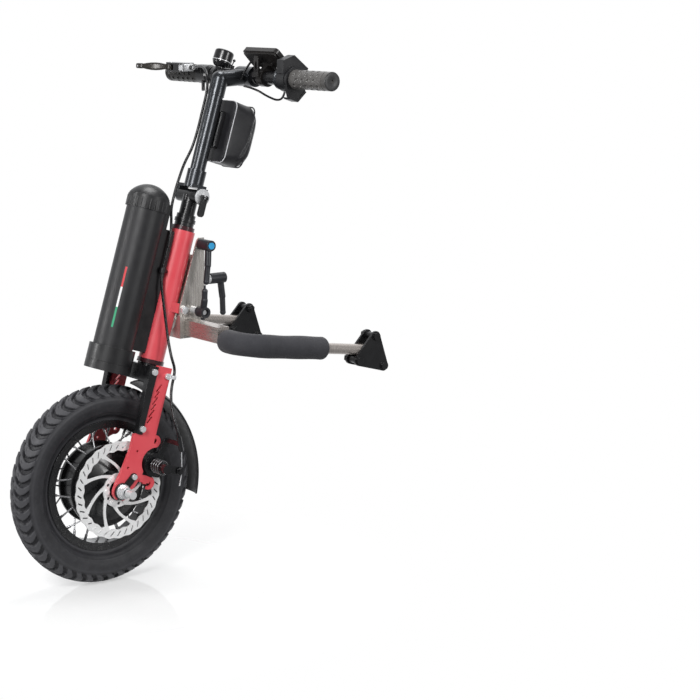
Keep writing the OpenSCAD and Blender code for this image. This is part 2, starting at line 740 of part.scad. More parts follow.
// Head tube with lugs for the dock and the battery rail, headset and steerer
module head_tube() {
    color("#e23b44") difference() {
        union() {
            in_steer() {
                translate([0, 0, tube_z]) cylinder(d = tube_d, h = tube_len);
                block([-channel_half + channel_t + pass_gap, 0, pivot_up - 8],
                    [channel_half - channel_t - pass_gap, pivot_back, pivot_up + 8]);
            }
            at_dock() across(-channel_half + channel_t + pass_gap, channel_half - channel_t - pass_gap, 2 * lug_r);
        }
        in_steer() translate([0, 0, tube_z - 1]) cylinder(d = tube_bore_d, h = tube_len + 2);
        at_dock() across(-channel_half, channel_half, pivot_d + 2 * seat_fit);
    }
}

module headset_cup(flip) {
    difference() {
        union() {
            cylinder(d = flip ? upper_cup_d : cup_d, h = cup_h);
            translate([0, 0, flip ? 0 : cup_h - 1]) mirror([0, 0, flip ? 1 : 0])
                cylinder(d = tube_bore_d - 2 * seat_fit, h = flip ? 9 : 10);
        }
        translate([0, 0, -20]) cylinder(d = steerer_d + 3, h = 60);
        translate([0, 0, flip ? -3 : 3]) cylinder(d = tube_bore_d - 3, h = cup_h);
    }
}

module headset_bearing() {
    difference() {
        cylinder(d = tube_bore_d - 3 - 2 * seat_fit, h = cup_h - 0.4);
        translate([0, 0, -1]) cylinder(d = steerer_d + 2 * run_fit, h = cup_h + 2);
    }
}

module headset_cups() {
    color("#2a1315") in_steer() {
        translate([0, 0, tube_z - cup_h]) headset_cup(false);
        translate([0, 0, tube_top]) headset_cup(true);
        translate([0, 0, tube_z - cup_h + 3.2]) headset_bearing();
        translate([0, 0, tube_top - 2.8]) headset_bearing();
    }
}

module steerer_tube() {
    color("#5a5d60") in_steer() difference() {
        translate([0, 0, crown_z]) cylinder(d = steerer_d, h = stack_top - crown_z);
        translate([0, 0, crown_z - 1]) cylinder(d = steerer_d - 4.6, h = stack_top);
    }
}

// Rings over the headset, the neck that goes into the steerer, and the middle knuckle of the tilt barrel
module lower_stem() {
    ring_z = tube_top + cup_h + pass_gap;
    ring_h = (stack_top - ring_z) / 3;
    color("#222") in_steer() {
        difference() {
            union() {
                translate([0, 0, ring_z]) cylinder(d = neck_d + 6, h = ring_h);
                translate([0, 0, ring_z + ring_h]) cylinder(d = neck_d + 9, h = ring_h - 0.6);
                translate([0, 0, ring_z + 2 * ring_h - 0.6]) cylinder(d = neck_d + 5.5, h = ring_h + 0.6);
            }
            translate([0, 0, ring_z - 1]) cylinder(d = steerer_d + 2 * seat_fit, h = stack_h);
        }
        difference() {
            union() {
                translate([0, 0, stack_top - 70]) cylinder(d = steerer_d - 4.6 - 2 * seat_fit, h = 72);
                translate([0, 0, stack_top]) cylinder(d = neck_d, h = neck_h + barrel_d / 2);
                translate([0, 0, barrel_z]) across(-knuckle_half, knuckle_half, barrel_d);
            }
            translate([0, 0, barrel_z]) across(-barrel_len, barrel_len, tilt_bolt_d + 2 * run_fit);
        }
    }
}

// Upper stem: outer knuckles, foot plate, collar, tube and forged elbow
foot_z = barrel_z + barrel_d / 2 + 2;
foot_t = 5;
collar_h = 25;
collar_d = stem_d + 6.2;
elbow_z = bar_z - 20;
module stem_tube() {
    color("#26282b") in_steer() difference() {
        union() {
            both_sides() difference() {
                union() {
                    translate([0, 0, barrel_z]) across(knuckle_half + pass_gap, barrel_len / 2, barrel_d);
                    block([knuckle_half + pass_gap, -barrel_d / 2 + 2, barrel_z], [barrel_len / 2, barrel_d / 2 - 2, foot_z + 1]);
                }
                translate([0, 0, barrel_z]) across(0, barrel_len, tilt_bolt_d + 2 * seat_fit);
            }
            block([-barrel_len / 2, -11, foot_z], [barrel_len / 2, 5, foot_z + foot_t]);
            translate([0, 0, foot_z]) cylinder(d = collar_d, h = foot_t + collar_h);
            translate([0, 0, foot_z + foot_t]) cylinder(d = stem_d, h = elbow_z - foot_z - foot_t);
            translate([0, 0, elbow_z - 28]) cylinder(d = elbow_d, h = 28);
            translate([0, 0, elbow_z]) sphere(d = elbow_d);
            rod([0, 0, elbow_z], [0, bar_back, bar_z], elbow_d - 1);
            translate([0, bar_back, bar_z]) across(-22, 22, centre_d + 8);
        }
        translate([0, bar_back, bar_z]) across(-40, 40, centre_d + 2 * seat_fit);
        translate([0, 0, foot_z + foot_t + 4]) cylinder(d = stem_d - 5, h = elbow_z - foot_z - 40);
    }
}

module tilt_bolt() {
    color("#bfc1c3") in_steer() translate([0, 0, barrel_z]) {
        across(-barrel_len / 2 - 12, cam_x - 5, tilt_bolt_d);
        across(cam_x - 6, cam_x + 2.5, tilt_bolt_d - 3.5);
        difference() {
            union() {
                across(-barrel_len / 2 - 4, -barrel_len / 2, barrel_d);
                translate([-barrel_len / 2 - 10.5, 0, 0]) rotate([0, 90, 0]) cylinder(d = 15, h = 6.5, $fn = 6);
                across(barrel_len / 2, barrel_len / 2 + 3, barrel_d + 5);
            }
            across(-barrel_len, barrel_len, tilt_bolt_d + 2 * seat_fit);
        }
    }
}

// Cam ring and its lever, which swings outwards from the end of the tilt bolt
cam_x = barrel_len / 2 + 8;
module qr_lever() {
    color("#2c2c2c") in_steer() translate([cam_x, 0, barrel_z]) {
        difference() {
            union() {
                rotate([90, 0, 0]) translate([0, 0, -6]) cylinder(d = 7, h = 12);
                plate_across(-2.5, 5) pad_outline([[0, -2], [0, -27]], 5.5);
            }
            block([-8, -2.6, -20], [3.4, 2.6, 8]);
        }
        block([0.5, -5.5, -27], [2.5, 5.5, -6]);
    }
}

// Handlebar and grips
module handlebar() {
    color("#1d1e20") at_bar() difference() {
        union() {
            across(-bar_len / 2 + 4, bar_len / 2 - 4, bar_d);
            across(-32, 32, centre_d);
        }
        both_sides() across(40, bar_len, bar_d - 5);
    }
}

module grips() {
    color("#55524f") at_bar() both_sides() difference() {
        union() {
            across(grip_x, bar_len / 2 - 1.5, grip_d - 1.5);
            across(grip_x, grip_x + 3, grip_d + 1);
            across(bar_len / 2 - 12, bar_len / 2 - 2, grip_d - 0.5);
            across(bar_len / 2 - 2, bar_len / 2, grip_d - 4);
        }
        across(grip_x - 1, bar_len / 2 - 4, bar_d + 2 * seat_fit);
        across(bar_len / 2 - 5, bar_len / 2 + 1, 6);
    }
}

// Brake perch and the lever blade, with X measured from the inner end of their grip
module brake_perch() {
    band_r = bar_d / 2 + 5;
    color("#1a1a1a") at_perch() difference() {
        union() {
            translate([13, 0, 0]) spin_across() polygon([[0, -12.7], [band_r, -12.7], [band_r, 12],
                [band_r - 3, 21], [0, 21]]);
            block([0.3, -32, 5], [15, -8, 15]);
            for (z = [4.2, 16.8]) plate_level(z, 3);
            block([-14, -51, 4.6], [16, -29, 19.4]);
            translate([0, -38, lever_pivot[2]]) across(14, 28, 9);
            rod([16, -10, -10], [22, -14, -27], 6);
        }
        across(-18, 52, bar_d + 2 * seat_fit);
        translate([0, -38, lever_pivot[2]]) across(-18, 42, 2.4);
        translate(lever_pivot) translate([0, 0, -20]) cylinder(d = 5, h = 40);
    }
}

module plate_level(z, t) {
    translate([0, 0, z]) linear_extrude(t) pad_outline([[8, -46], [8, -34], [lever_pivot[0], lever_pivot[1] + 3],
        [lever_pivot[0], lever_pivot[1] - 1]], 8);
}

module brake_lever() {
    color("#4a4c4e") at_perch() {
        blade = lever_tip - lever_pivot;
        reach = norm(blade);
        translate([lever_pivot[0], lever_pivot[1], 7.2 + pass_gap]) cylinder(d = 14, h = 9.6 - 2 * pass_gap);
        translate([lever_pivot[0], lever_pivot[1], 4]) cylinder(d = 5 - 2 * run_fit, h = 16);
        translate([lever_pivot[0], lever_pivot[1], 8]) rotate([0, 0, atan2(blade[1], blade[0])])
            linear_extrude(8) polygon([[0, -5], [reach * 0.35, -7], [reach * 0.75, -4.5], [reach - 5, -4],
                [reach, -1.5], [reach, 2.5], [reach - 5, 4.5], [reach * 0.7, 1.5], [reach * 0.3, 0], [0, 4]]);
    }
}

// Throttle housing with its flat pod, and the thumb paddle on its ring
module throttle_body() {
    color("#232323") at_bar() difference() {
        union() {
            across(throttle_x, throttle_x + throttle_w, 42);
            across(throttle_x - 12, throttle_x, 35);
            plate_across(throttle_x + 1, throttle_w - 2) polygon([[-20, 10], [-19, 31], [3, 38.5], [31, 16.5],
                [24, 4], [0, 0]]);
        }
        across(throttle_x - 20, throttle_x + 30, bar_d + 2 * seat_fit);
    }
}

module throttle_paddle() {
    color("#2b2b2b") at_bar() difference() {
        union() {
            across(paddle_x, grip_x - pass_gap, 40);
            plate_across(paddle_x, grip_x - pass_gap - paddle_x) polygon([[-19, -8], [-14, -28], [2, -34], [19, -19],
                [17, -6]]);
            plate_across(paddle_x - 10, 18) polygon([[-13, -28.5], [-12, -31.5], [3, -36.5], [20, -21], [17, -18.5],
                [3, -32.5]]);
        }
        across(paddle_x - 20, grip_x + 20, bar_d + 2 * run_fit);
    }
}

// Display on its clamp, and the button on its face
module at_display() { at_bar() translate(display_c) rotate([-display_tilt, 0, 0]) children(); }
module display() {
    w = display_size[0] / 2;
    l = display_size[1] / 2;
    h = display_size[2] / 2;
    color("#202226") difference() {
        union() {
            at_display() {
                translate([0, 0, -h + 3]) linear_extrude(2 * h - 3) rounded_box_outline([-w, -l], [w, l], 6);
                translate([0, 0, -h]) linear_extrude(3) rounded_box_outline([-w + 3, -l + 3], [w - 3, l - 3], 4);
            }
            at_bar() {
                across(display_c[0] - 5, display_c[0] + 9, bar_d + 8);
                rotate([-display_tilt, 0, 0]) {
                    block([display_c[0] - 4, -14, 4], [display_c[0] + 8, 9, 18]);
                    block([display_c[0] - 14, -14, 14], [display_c[0] + 18, 9, 18.5]);
                }
            }
        }
        at_bar() across(20, 95, bar_d + 2 * seat_fit);
        at_bar() block([display_c[0] - 0.5, -18, 9], [display_c[0] + 4, -12, 13]);
        at_display() translate([-20, -13, h - 1.2]) cube([60, 26, 2]);
        at_display() translate([-33, 0, h - 3]) cylinder(d = 14, h = 5);
    }
}

module display_button() {
    color("#3c3f44") at_display() translate([-33, 0, display_size[2] / 2 - 1.6]) cylinder(d = 13, h = 3);
}

// Bell drum on its band, tilted back, and the striker that snaps against its side
module at_bell() { at_bar() rotate([-bell_tilt, 0, 0]) translate([bell_x, 0, 0]) children(); }
module bell() {
    color("#101010") at_bell() difference() {
        union() {
            across(-5, 5, bar_d + 6);
            translate([0, 0, 8]) cylinder(d = 14, h = bell_low - 7);
            translate([0, 0, bell_low]) rotate_extrude($fn = 96) polygon([[0, 0], [bell_d / 2 - 1, 0],
                [bell_d / 2 - 1, 1.5], [bell_d / 2, 1.5], [bell_d / 2, bell_h - 4], [bell_d / 2 - 0.8, bell_h - 1.8],
                [bell_d / 2 - 2.6, bell_h - 0.6], [bell_d / 2 - 5, bell_h], [0, bell_h]]);
            block([0, striker_at[1] - 4.4, bell_low - 7], [striker_at[0] + 3, striker_at[1] + 4.4, bell_low - 5]);
            for (y = [-4.4, 2.4]) block([striker_at[0] - 2.4, striker_at[1] + y, bell_low - 7],
                [striker_at[0] + 2.4, striker_at[1] + y + 2, striker_at[2] + 2.4]);
        }
        across(-10, 10, bar_d + 2 * seat_fit);
        translate(striker_at) rotate([90, 0, 0]) translate([0, 0, -10]) cylinder(d = 2 + 2 * run_fit, h = 20);
    }
}

module bell_striker() {
    color("#151515") at_bell() translate(striker_at) {
        rotate([90, 0, 0]) {
            translate([0, 0, -4.4]) cylinder(d = 2, h = 8.8);
            translate([0, 0, -2.1]) cylinder(d = 3.8, h = 4.2);
        }
        rod([0, 0, 0], [2.4, 0, 9], 2);
        translate([2.6, 0, 10.5]) sphere(d = 5);
    }
}

// Soft pouch behind the stem
pouch_low = [stem_d / 2 + 9.8, bar_z - 153];
pouch_high = [76, bar_z - 49];
pouch_w = 64;
pouch_r = 16;
module pouch() {
    color("#1f1f22") in_steer() {
        translate([-pouch_w / 2, 0, 0]) rotate([90, 0, 90]) linear_extrude(pouch_w)
            pad_outline([pouch_low + [pouch_r, pouch_r], [pouch_high[0] + 6 - pouch_r, pouch_low[1] + pouch_r + 2],
                pouch_high - [pouch_r, pouch_r], [pouch_low[0] + pouch_r + 1.5, pouch_high[1] - pouch_r]], pouch_r);
        block([-9, stem_d / 2 + 0.3, pouch_low[1] + 22], [9, pouch_low[0] + 5, pouch_high[1] - 20]);
    }
}

// Battery: case, caps, cells, and the rail that holds it to the head tube
module at_battery() { in_steer() translate([0, -battery_out, 0]) children(); }
module battery_case() {
    low = battery_z + foot_h - 6;
    color("#26282a") at_battery() difference() {
        translate([0, 0, low]) cylinder(d = case_d, h = cap_z - low + 8, $fn = 96);
        translate([0, 0, low - 1]) cylinder(d = case_d - 2 * case_wall, h = battery_len, $fn = 96);
    }
}

module battery_top_cap() {
    ribs = 28;
    color("#1c1d1e") at_battery() difference() {
        union() {
            translate([0, 0, cap_z]) cylinder(d = cap_d - 1.6, h = cap_ring_h, $fn = 96);
            for (i = [0 : ribs - 1]) rotate([0, 0, i * 360 / ribs]) translate([cap_d / 2 - 1.6, 0, cap_z])
                cylinder(d = 3.2, h = cap_ring_h - 3, $fn = 16);
            translate([0, 0, cap_z + cap_ring_h]) intersection() {
                translate([0, 0, -18]) sphere(r = 39, $fn = 96);
                cylinder(d = cap_d - 4, h = 30);
            }
        }
        translate([0, 0, cap_z - 1]) cylinder(d = case_d + 2 * seat_fit, h = 9);
        translate([0, 0, cap_z - 1]) cylinder(d = case_d - 6, h = cap_ring_h - 4);
    }
}

module battery_foot() {
    color("#1a1b1c") at_battery() difference() {
        union() {
            translate([0, 0, battery_z]) cylinder(d = foot_d, h = 13.5, $fn = 96);
            translate([0, 0, battery_z + 13.5]) cylinder(d = foot_d - 1.2, h = 1, $fn = 96);
            translate([0, 0, battery_z + 14.5]) cylinder(d = foot_d, h = foot_h - 14.5, $fn = 96);
        }
        translate([0, 0, battery_z + foot_h - 6]) cylinder(d = case_d + 2 * seat_fit, h = 10);
        translate([0, 0, battery_z + 6]) cylinder(d = case_d - 6, h = foot_h);
    }
}

cell_d = 18.4;
cell_h = 65;
module battery_cells() {
    first = battery_z + 6.3;
    rows = floor((cap_z + 6 - first) / (cell_h + 1));
    color("#3f7fb5") at_battery() for (k = [0 : rows - 1]) translate([0, 0, first + k * (cell_h + 1)]) {
        cylinder(d = cell_d, h = cell_h);
        for (i = [0 : 5]) rotate([0, 0, 60 * i]) translate([cell_d + 0.3, 0, 0]) cylinder(d = cell_d, h = cell_h);
    }
}

module battery_rail() {
    front = -battery_out + case_d / 2 + seat_fit;
    back = -tube_d / 2 - seat_fit;
    low = tube_z + 8;
    high = tube_top - 6;
    color("#17181a") in_steer() difference() {
        union() {
            block([-rail_w / 2, front - 8, low], [rail_w / 2, back + 6, high]);
            block([-rail_w / 2, front - 8, high], [rail_w / 2, front + 9, cap_z + 17]);
        }
        translate([0, -battery_out, low - 1]) cylinder(d = case_d + 2 * seat_fit, h = high, $fn = 96);
        translate([0, -battery_out, cap_z - seat_fit]) cylinder(d = cap_d + 2 * seat_fit, h = high, $fn = 96);
        translate([0, 0, low - 1]) cylinder(d = tube_d + 2 * seat_fit, h = high - low + 1, $fn = 96);
    }
}

module dock_pivot_bolt() {
    color("#909294") at_dock() {
        across(-channel_half - 7, channel_half + 7, pivot_d);
        both_sides() difference() {
            translate([channel_half + pass_gap, 0, 0]) rotate([0, 90, 0]) cylinder(d = 14, h = 5, $fn = 6);
            across(0, 50, pivot_d + 2 * seat_fit);
        }
    }
}

// Clip that holds the brake cable on the head tube
module cable_clip() {
    p = clip_point;
    out = unit([p[0], p[1], 0]);
    color("#141414") in_steer() difference() {
        union() {
            translate(p - [0, 0, 4]) cylinder(d = cable_d + 5, h = 8);
            rod([tube_d / 2 * out[0], tube_d / 2 * out[1], p[2]], p, 7);
        }
        translate(p - [0, 0, 10]) cylinder(d = cable_d + 2 * seat_fit, h = 20);
        translate([0, 0, tube_z]) cylinder(d = tube_d + 2 * seat_fit, h = tube_len, $fn = 96);
        block([-rail_w / 2, -60, p[2] - 20], [rail_w / 2 + seat_fit, 0, p[2] + 20]);
    }
}

// Dock channel: two side plates that widen downwards, a back plate and welded levers' studs
module channel_side() {
    front_low = socket_front;
    polygon([[front_low, channel_low], [-7, 6], [28 * channel_up / 116, channel_up - 4],
        [32 * channel_up / 116, channel_up], [channel_back, channel_up], [channel_back, channel_low]]);
}

module dock_channel() {
    color("#b8b2a8") at_dock() difference() {
        union() {
            both_sides() plate_across(channel_half - channel_t, channel_t) channel_side();
            block([-channel_half, channel_back - channel_t, channel_low], [channel_half, channel_back, 84]);
        }
        across(-60, 60, pivot_d + 2 * run_fit);
    }
}

module arm_socket() {
    low = arm_bar_z - arm_bar_h / 2 - pass_gap - socket_wall;
    color("#a39c92") difference() {
        at_dock() difference() {
            block([-socket_half, socket_front, low], [socket_half, socket_back, channel_low]);
            block([-socket_half - 1, bar_front - pass_gap, arm_bar_z - arm_bar_h / 2 - pass_gap],
                [socket_half + 1, bar_front + arm_bar_w + pass_gap, arm_bar_z + arm_bar_h / 2 + pass_gap]);
        }
        in_steer() translate([0, 0, tube_z]) cylinder(d = tube_d + 8, h = tube_len, $fn = 96);
    }
}

stud_len = 26;
rear_boss = 27;
module lever_studs() {
    color("#8d8f92") at_dock() {
        translate([0, upper_stud[0], upper_stud[1]]) {
            across(channel_half, channel_half + 3, 14);
            across(channel_half, channel_half + stud_len, stud_d);
        }
        translate([0, lower_stud[0], lower_stud[1]]) {
            across(channel_half, lower_lever_x - pass_gap, 13);
            across(channel_half, lower_lever_x - pass_gap + stud_len - 10, stud_d);
        }
        translate([0, channel_back, rear_stud_z]) rotate([-90, 0, 0]) {
            cylinder(d = 15, h = rear_boss);
            cylinder(d = stud_d, h = rear_boss + stud_len - 3);
        }
    }
}

// Clamping lever: hub along +X from x0, arm that hangs down and steps outwards
module clamp_lever(x0, hub, len) {
    difference() {
        union() {
            across(x0, x0 + hub, hub_d);
            rod([x0 + hub - 8, 0, -3], [x0 + hub - 4, 0, -len * 0.5], 11);
            rod([x0 + hub - 4, 0, -len * 0.5], [x0 + hub - 3, 0, -len + 5], 9.5);
            translate([x0 + hub - 3, 0, -len + 5]) sphere(d = 10);
            translate([x0 + hub - 4, 0, -len * 0.5]) sphere(d = 11);
        }
        across(x0 - 1, x0 + hub - 6, stud_d + 2 * run_fit);
        across(x0 + hub - 6, x0 + hub + 1, button_d + 2 * pass_gap);
    }
}
lever_x = channel_half + 3 + pass_gap;
lower_lever_x = channel_half + 17;
lower_len = lever_len - 24;

module upper_lever() {
    color("#2e2f32") at_dock() translate([0, upper_stud[0], upper_stud[1]]) rotate([-8, 0, 0])
        clamp_lever(lever_x, hub_len, lever_len);
}

module rear_lever() {
    color("#2e2f32") at_dock() translate([0, channel_back + rear_boss + pass_gap, rear_stud_z])
        rotate([0, 0, 90]) clamp_lever(0, hub_len, lever_len);
}

module lower_lever() {
    color("#2e2f32") at_dock() translate([0, lower_stud[0], lower_stud[1]]) rotate([180, 0, 0]) {
        clamp_lever(lower_lever_x, hub_len - 10, lower_len);
        rod([lower_lever_x + hub_len - 13, 0, -lower_len + 7], [lower_lever_x + hub_len - 13, 0, -lower_len - 5], 3.6);
    }
}

module lever_button(x0) { across(x0 + hub_len - 3.5, x0 + hub_len + 1.5, button_d); }
module upper_button() {
    color("#2ea6e0") at_dock() translate([0, upper_stud[0], upper_stud[1]]) lever_button(lever_x);
}
module rear_button() {
    color("#2ea6e0") at_dock() translate([0, channel_back + rear_boss + pass_gap, rear_stud_z])
        rotate([0, 0, 90]) lever_button(0);
}

// Arms: bar, end flange, bent tube; foam sleeve; pair of clamp plates with bolts and spacers
module elbow(r, profile_d) {
    translate([arm_reach - arm_bend_r, arm_bend_r, 0]) rotate([0, 0, -90])
        rotate_extrude(angle = 90, $fn = 96) translate([arm_bend_r, 0]) circle(d = profile_d);
}

module bent_bar(x0, y1, d) {
    across(x0, arm_reach - arm_bend_r, d);
    elbow(arm_bend_r, d);
    translate([arm_reach, arm_bend_r, 0]) rotate([-90, 0, 0]) cylinder(d = d, h = y1 - arm_bend_r);
}

module arm_tube() {
    wall = 2.5;
    at_dock() difference() {
        block([arm_in_x, bar_front, arm_bar_z - arm_bar_h / 2], [arm_flange_x, bar_front + arm_bar_w, arm_bar_z + arm_bar_h / 2]);
        block([arm_in_x - 1, bar_front + wall, arm_bar_z - arm_bar_h / 2 + wall],
            [arm_flange_x - 3, bar_front + arm_bar_w - wall, arm_bar_z + arm_bar_h / 2 - wall]);
    }
    at_arm() difference() {
        bent_bar(arm_flange_x - 2.5, arm_tube_len, arm_tube_d);
        translate([arm_reach, arm_bend_r, 0]) rotate([-90, 0, 0]) cylinder(d = arm_tube_d - 2 * wall, h = arm_tube_len);
    }
}

module foam_sleeve() {
    at_arm() difference() {
        union() {
            bent_bar(foam_start_x + 7, foam_end_y - 7, foam_d);
            translate([foam_start_x + 7, 0, 0]) rotate([0, -90, 0]) foam_end();
            translate([arm_reach, foam_end_y - 7, 0]) rotate([-90, 0, 0]) foam_end();
        }
        bent_bar(foam_start_x - 10, arm_tube_len, arm_tube_d + 2 * seat_fit);
    }
}

module foam_end() {
    rotate_extrude($fn = 96) {
        square([foam_d / 2 - 7, 7]);
        intersection() {
            translate([foam_d / 2 - 7, 0]) circle(7);
            square([foam_d / 2, 7]);
        }
    }
}

module clamp_pair() {
    at_arm() {
        for (x = [arm_reach - clamp_gap / 2 - clamp_t, arm_reach + clamp_gap / 2])
            plate_across(x, clamp_t) difference() {
                pad_outline(clamp_bolts, clamp_pad_r);
                for (p = clamp_bolts) translate(p) circle(d = clamp_bolt_d + 2 * seat_fit);
            }
        for (p = clamp_bolts) translate([0, p[0], p[1]]) {
            across(arm_reach - clamp_gap / 2 - clamp_t - 8, arm_reach + clamp_gap / 2 + clamp_t, clamp_bolt_d);
            across(arm_reach + clamp_gap / 2 + clamp_t, arm_reach + clamp_gap / 2 + clamp_t + 4, 13);
            difference() {
                across(arm_reach - clamp_gap / 2, arm_reach + clamp_gap / 2, clamp_bolt_d + 4);
                across(0, 400, clamp_bolt_d + 2 * seat_fit);
            }
            translate([arm_reach - clamp_gap / 2 - clamp_t - 6.5, 0, 0]) difference() {
                rotate([0, 90, 0]) cylinder(d = 14, h = 6.5, $fn = 6);
                across(-1, 10, clamp_bolt_d + 2 * seat_fit);
            }
        }
    }
}

module left_arm_tube() { color("#a09890") arm_tube(); }
module right_arm_tube() { color("#a09890") mirror([1, 0, 0]) arm_tube(); }
module left_foam() { color("#35353a") foam_sleeve(); }
module right_foam() { color("#35353a") mirror([1, 0, 0]) foam_sleeve(); }
module left_clamp() { color("#2c2c30") clamp_pair(); }
module right_clamp() { color("#2c2c30") mirror([1, 0, 0]) clamp_pair(); }

// Cable and leads. The lower stretch ends in the adjuster, and its bare wire goes on past the arm's clamp
wire_back = 2.7 + wire_d / 2 + 0.2;
wire_route = [stop_c, stop_c - (stop_half + 1) * stop_up, [cable_x, clamp_bolt_at[0] + wire_back, clamp_bolt_at[1]],
    [cable_x, clamp_bolt_at[0] + wire_back + 2.5, clamp_bolt_at[1] - 21]];
module brake_cable_upper() { color("#101010") in_steer() swept_tube(smooth_path(upper_route, 2), cable_d, 8); }
module brake_cable_lower() {
    color("#101010") in_steer() {
        swept_tube(smooth_path(lower_route, 2), cable_d, 8);
        swept_tube(wire_route, wire_d, 8);
    }
}
module bar_leads() {
    color("#101010") at_bar() {
        swept_tube(smooth_path(throttle_lead, 2), lead_d, 8);
        swept_tube(smooth_path(display_lead, 2), lead_d, 8);
    }
}

head_tube();
headset_cups();
battery_rail();
battery_case();
battery_top_cap();
battery_foot();
battery_cells();
dock_pivot_bolt();
cable_clip();
dock_channel();
arm_socket();
lever_studs();
upper_lever();
rear_lever();
lower_lever();
upper_button();
rear_button();
left_arm_tube();
left_foam();
left_clamp();
right_arm_tube();
right_foam();
right_clamp();
steerer_tube();
lower_stem();
fork_crown();
fork_plates();
fork_struts();
fork_fasteners();
axle();
motor_stator();
mudguard();
caliper_body();
caliper_arm();
caliper_spring();
tyre();
rim();
spokes();
hub_shell();
hub_cover();
motor_magnets();
hub_bearings();
brake_rotor();
stem_tube();
tilt_bolt();
qr_lever();
handlebar();
grips();
brake_perch();
brake_lever();
throttle_body();
throttle_paddle();
display();
display_button();
bell();
bell_striker();
pouch();
brake_cable_upper();
brake_cable_lower();
bar_leads();
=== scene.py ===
# Looks of a clip-on power unit for a wheelchair: camera, light, finishes and the pieces made as meshes.
import math

import bmesh
import bpy
import numpy as np
from mathutils import Matrix, Vector


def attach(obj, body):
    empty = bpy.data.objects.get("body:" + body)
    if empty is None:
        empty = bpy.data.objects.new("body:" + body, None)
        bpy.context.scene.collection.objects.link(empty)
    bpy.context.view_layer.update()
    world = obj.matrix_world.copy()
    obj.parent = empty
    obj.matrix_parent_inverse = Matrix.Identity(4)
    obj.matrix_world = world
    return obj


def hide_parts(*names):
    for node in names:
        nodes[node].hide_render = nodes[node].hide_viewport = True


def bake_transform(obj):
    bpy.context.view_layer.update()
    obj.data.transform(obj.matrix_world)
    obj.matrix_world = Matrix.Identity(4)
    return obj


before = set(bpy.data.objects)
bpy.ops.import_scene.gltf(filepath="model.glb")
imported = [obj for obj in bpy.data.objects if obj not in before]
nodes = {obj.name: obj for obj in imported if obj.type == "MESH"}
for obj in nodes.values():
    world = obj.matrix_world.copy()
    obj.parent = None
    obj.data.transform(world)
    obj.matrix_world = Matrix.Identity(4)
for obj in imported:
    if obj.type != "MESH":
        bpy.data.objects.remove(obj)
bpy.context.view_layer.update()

# Frames of the part, in metres: steering axis, axle, handlebar, dock and arms
MM = 0.001
LEAN = math.radians(17.4)
WHEEL_R = 0.163
TYRE_R = 0.0285
TYRE_MID_R = WHEEL_R - TYRE_R
FORK_OFFSET = 0.037
AXIS_Y = FORK_OFFSET / math.cos(LEAN)
CROWN_Z = -FORK_OFFSET * math.tan(LEAN) + WHEEL_R + 0.015
TUBE_Z = CROWN_Z + 0.0366
TUBE_LEN = 0.217
TUBE_R = 0.021
BARREL_Z = TUBE_Z + TUBE_LEN + 0.059
BAR_Z = BARREL_Z + 0.217
BAR_BACK = 0.0537
BATTERY_OUT = 0.0785
CASE_R = 0.0325
STEER = Matrix.Translation((0, AXIS_Y, WHEEL_R)) @ Matrix.Rotation(-LEAN, 4, "X")
AXLE = Matrix.Translation((0, 0, WHEEL_R))
BAR = STEER @ Matrix.Translation((0, BAR_BACK, BAR_Z)) @ Matrix.Rotation(LEAN, 4, "X")
BATTERY = STEER @ Matrix.Translation((0, -BATTERY_OUT, 0))
PIVOT_UP = TUBE_Z + 0.091
PIVOT_BACK = TUBE_R + 0.0013
DOCK = Matrix.Translation((0, AXIS_Y + PIVOT_BACK * math.cos(LEAN) + PIVOT_UP * math.sin(LEAN),
                           WHEEL_R - PIVOT_BACK * math.sin(LEAN) + PIVOT_UP * math.cos(LEAN)))
ARM = DOCK @ Matrix.Translation((0, 0.013, -0.0385)) @ Matrix.Rotation(math.radians(-8), 4, "X")


def placed(name, data):
    """A new object in the scene."""
    obj = bpy.data.objects.new(name, data)
    bpy.context.scene.collection.objects.link(obj)
    return obj


# Camera at the photograph's viewing angle
def make_camera():
    data = bpy.data.cameras.new("camera")
    camera = placed("camera", data)
    azimuth = math.radians(52.53)
    elevation = math.radians(9.73)
    back = Vector((math.sin(azimuth) * math.cos(elevation), -math.cos(azimuth) * math.cos(elevation),
                   math.sin(elevation)))
    camera.location = (2.561, -1.563, 0.954)
    camera.rotation_mode = "QUATERNION"
    camera.rotation_quaternion = (-back).to_track_quat("-Z", "Y")
    data.sensor_width = 36
    data.lens = 97.34
    data.shift_x = 0.0764
    data.shift_y = -0.0518
    data.clip_start = 0.1
    data.clip_end = 50
    bpy.context.scene.camera = camera


make_camera()


